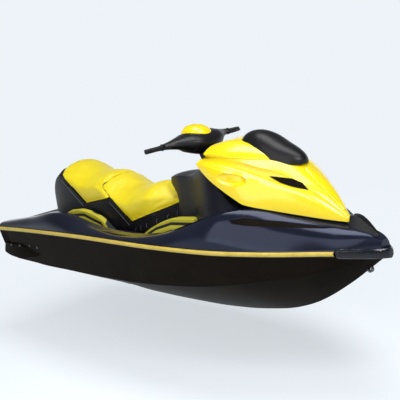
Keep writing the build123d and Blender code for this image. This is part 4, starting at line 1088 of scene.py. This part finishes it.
def beads(name, paths, radius_mm, finish, body):
    """Round beads swept along paths, as one mesh."""
    curve = bpy.data.curves.new(name, "CURVE")
    curve.dimensions, curve.bevel_depth, curve.bevel_resolution = "3D", radius_mm / 1000, 2
    curve.resolution_u, curve.use_fill_caps = 4, True
    for path in paths:
        loop = (path[0] - path[-1]).length < LOFT_MERGE
        places = path[:-1] if loop else path
        spline = curve.splines.new("NURBS")
        spline.points.add(len(places) - 1)
        for point, place in zip(spline.points, places):
            point.co = (*place, 1)
        spline.order_u, spline.use_endpoint_u, spline.use_cyclic_u = 3, not loop, loop
    drawn = bpy.data.objects.new(name, curve)
    bpy.context.collection.objects.link(drawn)
    mesh = bpy.data.meshes.new_from_object(drawn.evaluated_get(bpy.context.evaluated_depsgraph_get()))
    bpy.data.objects.remove(drawn)
    bm = bmesh.new()
    bm.from_mesh(mesh)
    bmesh.ops.remove_doubles(bm, verts=bm.verts, dist=LOFT_MERGE)
    bmesh.ops.recalc_face_normals(bm, faces=bm.faces)
    piece = add_piece(name, bm, finishes[finish], body)
    piece.data.shade_smooth()
    return piece


pad_trees = [surface(opened(pad)) for pad in pads]
base_trees = [surface(merged("seat_base"))]
print(len(pad_trees) + len(base_trees), "surfaces to cast rays at")

# %% [markdown]
# ## Welts, stitching and pleats
# The yellow covers end in welts, the black sides are stitched where two panels meet, and short
# pleats under the driver's cushion take up the cover's slack. A bump map could draw them all, but
# the welts also show against the light.

# %% Welts, stitching and pleats
# Seam lines as seen from the side. Columns: x and z
DRIVER_EDGE = [(-328, 268), (-120, 341), (84, 414)]
DRIVER_FRONT = [(88, 418), (58, 458), (10, 482)]
PASSENGER_EDGE = [(-812, 354), (-670, 382), (-540, 408)]
STITCHES = [
    [(-350, 238), (-440, 318), (-536, 390)],
    [(-840, 326), (-960, 420), (-1080, 512)],
]
PLEATS = [(-290, 238), (-235, 258), (-180, 278), (-110, 304), (-50, 326), (10, 348), (62, 366)]
PLEAT_SHAPE = [(0, -12), (-10, -26), (-6, -46)]
WELT_LIFT, THREAD_LIFT = 0.002, 0.0005
WELT_R, THREAD_R, PLEAT_R = 3.5, 1.6, 1.8

welts, threads, pleats = [], [], []
for side in (-1, 1):
    welts.append(side_places(pad_trees[:1], DRIVER_EDGE + DRIVER_FRONT, side, WELT_LIFT))
    welts.append(side_places(pad_trees[1:], PASSENGER_EDGE, side, WELT_LIFT))
    threads += [side_places(base_trees, line, side, THREAD_LIFT) for line in STITCHES]
    for x, z in PLEATS:
        pleat = [(x + dx, z + dz) for dx, dz in PLEAT_SHAPE]
        pleats.append(side_places(base_trees, pleat, side, THREAD_LIFT))
welts, threads, pleats = ([path for path in paths if len(path) > 2] for paths in (welts, threads, pleats))
beads("cushion_welts", welts, WELT_R, "yellow_marine_vinyl", "seat_body")
beads("seat_stitching", threads, THREAD_R, "grey_thread", "seat_body")
beads("seat_pleats", pleats, PLEAT_R, "grey_thread", "seat_body")
print(len(welts), "welts,", len(threads), "rows of stitching,", len(pleats), "pleats")

# %% [markdown]
# ## Collar
# A black welt closes the seam between the two cushions. It runs right over the seat, so its rays
# can't all come from one side: they turn about the seat's middle. The seam leans, so where a ray
# starts depends on how high it lands, and each ray is cast a few times until the two agree.

# %% Collar welt
# Seam line as seen from the side. Columns: x and z
COLLAR = [(-522, 400), (-640, 470), (-600, 560)]
COLLAR_MIDDLE, COLLAR_TURN, COLLAR_RAYS, COLLAR_CASTS = 430, 98, 48, 6
COLLAR_R = 3.2


def collar_x(z):
    """Where the seam between the cushions lies along the craft, at a height."""
    for (x0, z0), (x1, z1) in zip(COLLAR, COLLAR[1:]):
        if z <= z1 or (x1, z1) == COLLAR[-1]:
            return (x0 + (x1 - x0) * (z - z0) / (z1 - z0)) / 1000


collar = []
for step in range(COLLAR_RAYS + 1):
    angle = radians(COLLAR_TURN * (2 * step / COLLAR_RAYS - 1))
    way, z = Vector((0, sin(angle), cos(angle))), COLLAR_MIDDLE
    for _ in range(COLLAR_CASTS):
        start = Vector((collar_x(z), 0, COLLAR_MIDDLE / 1000)) + way * RAY_FROM
        hit = cast(pad_trees, start, -way)
        z = hit[0].z * 1000 if hit else z
    if hit:
        collar.append(hit[0] + way * THREAD_LIFT)
beads("collar_welt", [collar], COLLAR_R, "black_marine_vinyl", "seat_body")
print("collar of", len(collar), "places")

# %% [markdown]
# ## Footwell mats
# The mats are EVA foam sheets, routed in long bands so that wet feet grip. Bands of yellow and
# black follow the curved top of each cheek, so a pattern on straight axes would miss them. Each
# point therefore stores how far it lies below the cheek's top, and the material reads that number.

# %% Banded EVA mats
BAND_MM, BAND_EDGES, BAND_GROOVE_MM, BAND_RELIEF = 22, (0.36, 0.44), 3, 0.8
PORE_MM, PORE_DEPTH_MM = 3, 0.2
FLOOR_MAT_Y, FLOOR_MAT_Z = 0.3, 0.14
# Top line of each cheek. Columns: x and z in metres
CHEEK_TOPS = [
    [(-1.08, 0.212), (-0.96, 0.288), (-0.76, 0.312), (-0.57, 0.268), (-0.43, 0.14)],
    [(-0.23, 0.14), (-0.12, 0.228), (0.0, 0.288), (0.15, 0.333), (0.372, 0.35)],
]


def cheek_top(x):
    """Height of the cheek's top line at x."""
    for line in CHEEK_TOPS:
        for (x0, z0), (x1, z1) in zip(line, line[1:]):
            if x0 <= x <= x1:
                return z0 + (z1 - z0) * (x - x0) / (x1 - x0)
    return FLOOR_MAT_Z


# EVA foam is matt, with small open pores where it was routed
eva_mat, tree, shader, place = new_finish("banded_eva_foam", {"Roughness": 0.7})
depth = add_node(tree, "Attribute", attribute_name="below_top")
bands = add_node(tree, "Math", {0: depth.outputs["Fac"], 1: per_mm(BAND_MM)}, operation="MULTIPLY")
saw = add_node(tree, "Math", {0: bands.outputs[0], 1: 1.0}, operation="PINGPONG")
edge = add_node(tree, "ValToRGB", {"Fac": saw.outputs[0]})
for stop, position, colour in zip(edge.color_ramp.elements, BAND_EDGES, ("#17181a", "#c9c02e")):
    stop.position = position
    stop.color = linear(colour)
foam = add_node(tree, "TexNoise", {"Vector": place, "Scale": per_mm(PORE_MM)})
groove = add_node(
    tree,
    "Bump",
    {"Height": saw.outputs[0], "Distance": BAND_GROOVE_MM / 1000, "Strength": BAND_RELIEF},
)
pores = add_node(
    tree,
    "Bump",
    {"Height": foam.outputs[0], "Distance": PORE_DEPTH_MM / 1000, "Normal": groove.outputs[0]},
)
tree.links.new(edge.outputs[0], shader.inputs["Base Color"])
tree.links.new(pores.outputs[0], shader.inputs["Normal"])
finishes["banded_eva_foam"] = eva_mat

mats = skin("footwell_mats", "banded_eva_foam")
below_top = mats.data.attributes.new("below_top", "FLOAT", "POINT")
for vert, value in zip(mats.data.vertices, below_top.data):
    on_cheek = abs(vert.co.y) < FLOOR_MAT_Y
    value.value = cheek_top(vert.co.x) - vert.co.z + BAND_MM / 1000 if on_cheek else 0
print("mats", len(mats.data.polygons), "faces")

# %% [markdown]
# ## Bolts
# The sponsons are bolted to the hull's sides. A domed bolt head is a flattened sphere, sunk to
# its middle in the surface that a ray finds behind it. A cut half sphere would look the same.

# %% Sponson bolts
# Columns: x and z
BOLTS = [(-1470, 73), (-1368, 80), (-1248, 88), (-1128, 97), (-1014, 100)]
BOLT_R, BOLT_RISE, BOLT_RAY_FROM = 0.009, 0.55, 0.8

side_trees = [surface(opened(skins["sponsons"])), surface(merged("hull"))]
bm = bmesh.new()
for side in (-1, 1):
    for x, z in BOLTS:
        start = Vector((x / 1000, side * BOLT_RAY_FROM, z / 1000))
        place, normal = cast(side_trees, start, Vector((0, -side, 0)))
        turn = normal.to_track_quat("Z", "Y").to_matrix().to_4x4()
        head = Matrix.Translation(place) @ turn @ Matrix.Diagonal((1, 1, BOLT_RISE, 1))
        bmesh.ops.create_uvsphere(bm, u_segments=16, v_segments=10, radius=BOLT_R, matrix=head)
# The bolt heads take the stainless darkened as painted shade
bolts = add_piece("sponson_bolts", bm, finishes["stainless_painted_dim"], "hull_body")
bolts.data.shade_smooth()
print("bolts", len(BOLTS) * 2)

# %% [markdown]
# ## Ribs
# The stern mat is moulded with raised ribs across it, so that a wet boarder doesn't slip. They
# stop short of the grab handle. An Array modifier could repeat them; a loop takes their spacing
# straight from the two boxes.

# %% Ribs on the stern mat
RIBS, RIB_WIDTH, RIB_RISE, RIB_MARGIN, RIB_EASE = 12, 0.010, 0.0025, 0.03, 0.0015
low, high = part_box("stern_mat")
handle_low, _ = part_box("grab_handle")
bm = bmesh.new()
for i in range(RIBS):
    x = low[0] + RIB_MARGIN + (min(high[0], handle_low[0]) - low[0] - 2 * RIB_MARGIN) * i / (RIBS - 1)
    size = Matrix.Diagonal((RIB_WIDTH, high[1] - low[1] - 2 * RIB_MARGIN, 2 * RIB_RISE, 1))
    bmesh.ops.create_cube(bm, size=1, matrix=Matrix.Translation((x, 0, high[2])) @ size)
tops = [edge for edge in bm.edges if all(vert.co.z > high[2] for vert in edge.verts)]
bmesh.ops.bevel(bm, geom=tops, offset=RIB_EASE, affect="EDGES", segments=2, profile=0.5, material=-1)
add_piece("stern_mat_ribs", bm, finishes["black_bumper_rubber"], "hull_body")
print("ribs from", round(low[0], 3), "at", round(high[2], 3))

# %% [markdown]
# ## Joints
# The cowl is three mouldings, a middle and two arms, and a thin rubber lip fills each joint. The
# lip follows the cowl's own section there, taken from a table filled in finely enough.

# %% Joints of the cowl
SEAM_Y = (-98, 98)
SEAM_R, SEAM_ROWS = 1.8, 513
fine_rows = faired(COWL_SECTIONS, SEAM_ROWS)
joints = [cowl_ring(*min(fine_rows, key=lambda row: abs(row[0] - y))) for y in SEAM_Y]
beads("cowl_joints", joints, SEAM_R, "black_bumper_rubber", "handlebar_body")
print("cowl joints at", SEAM_Y)
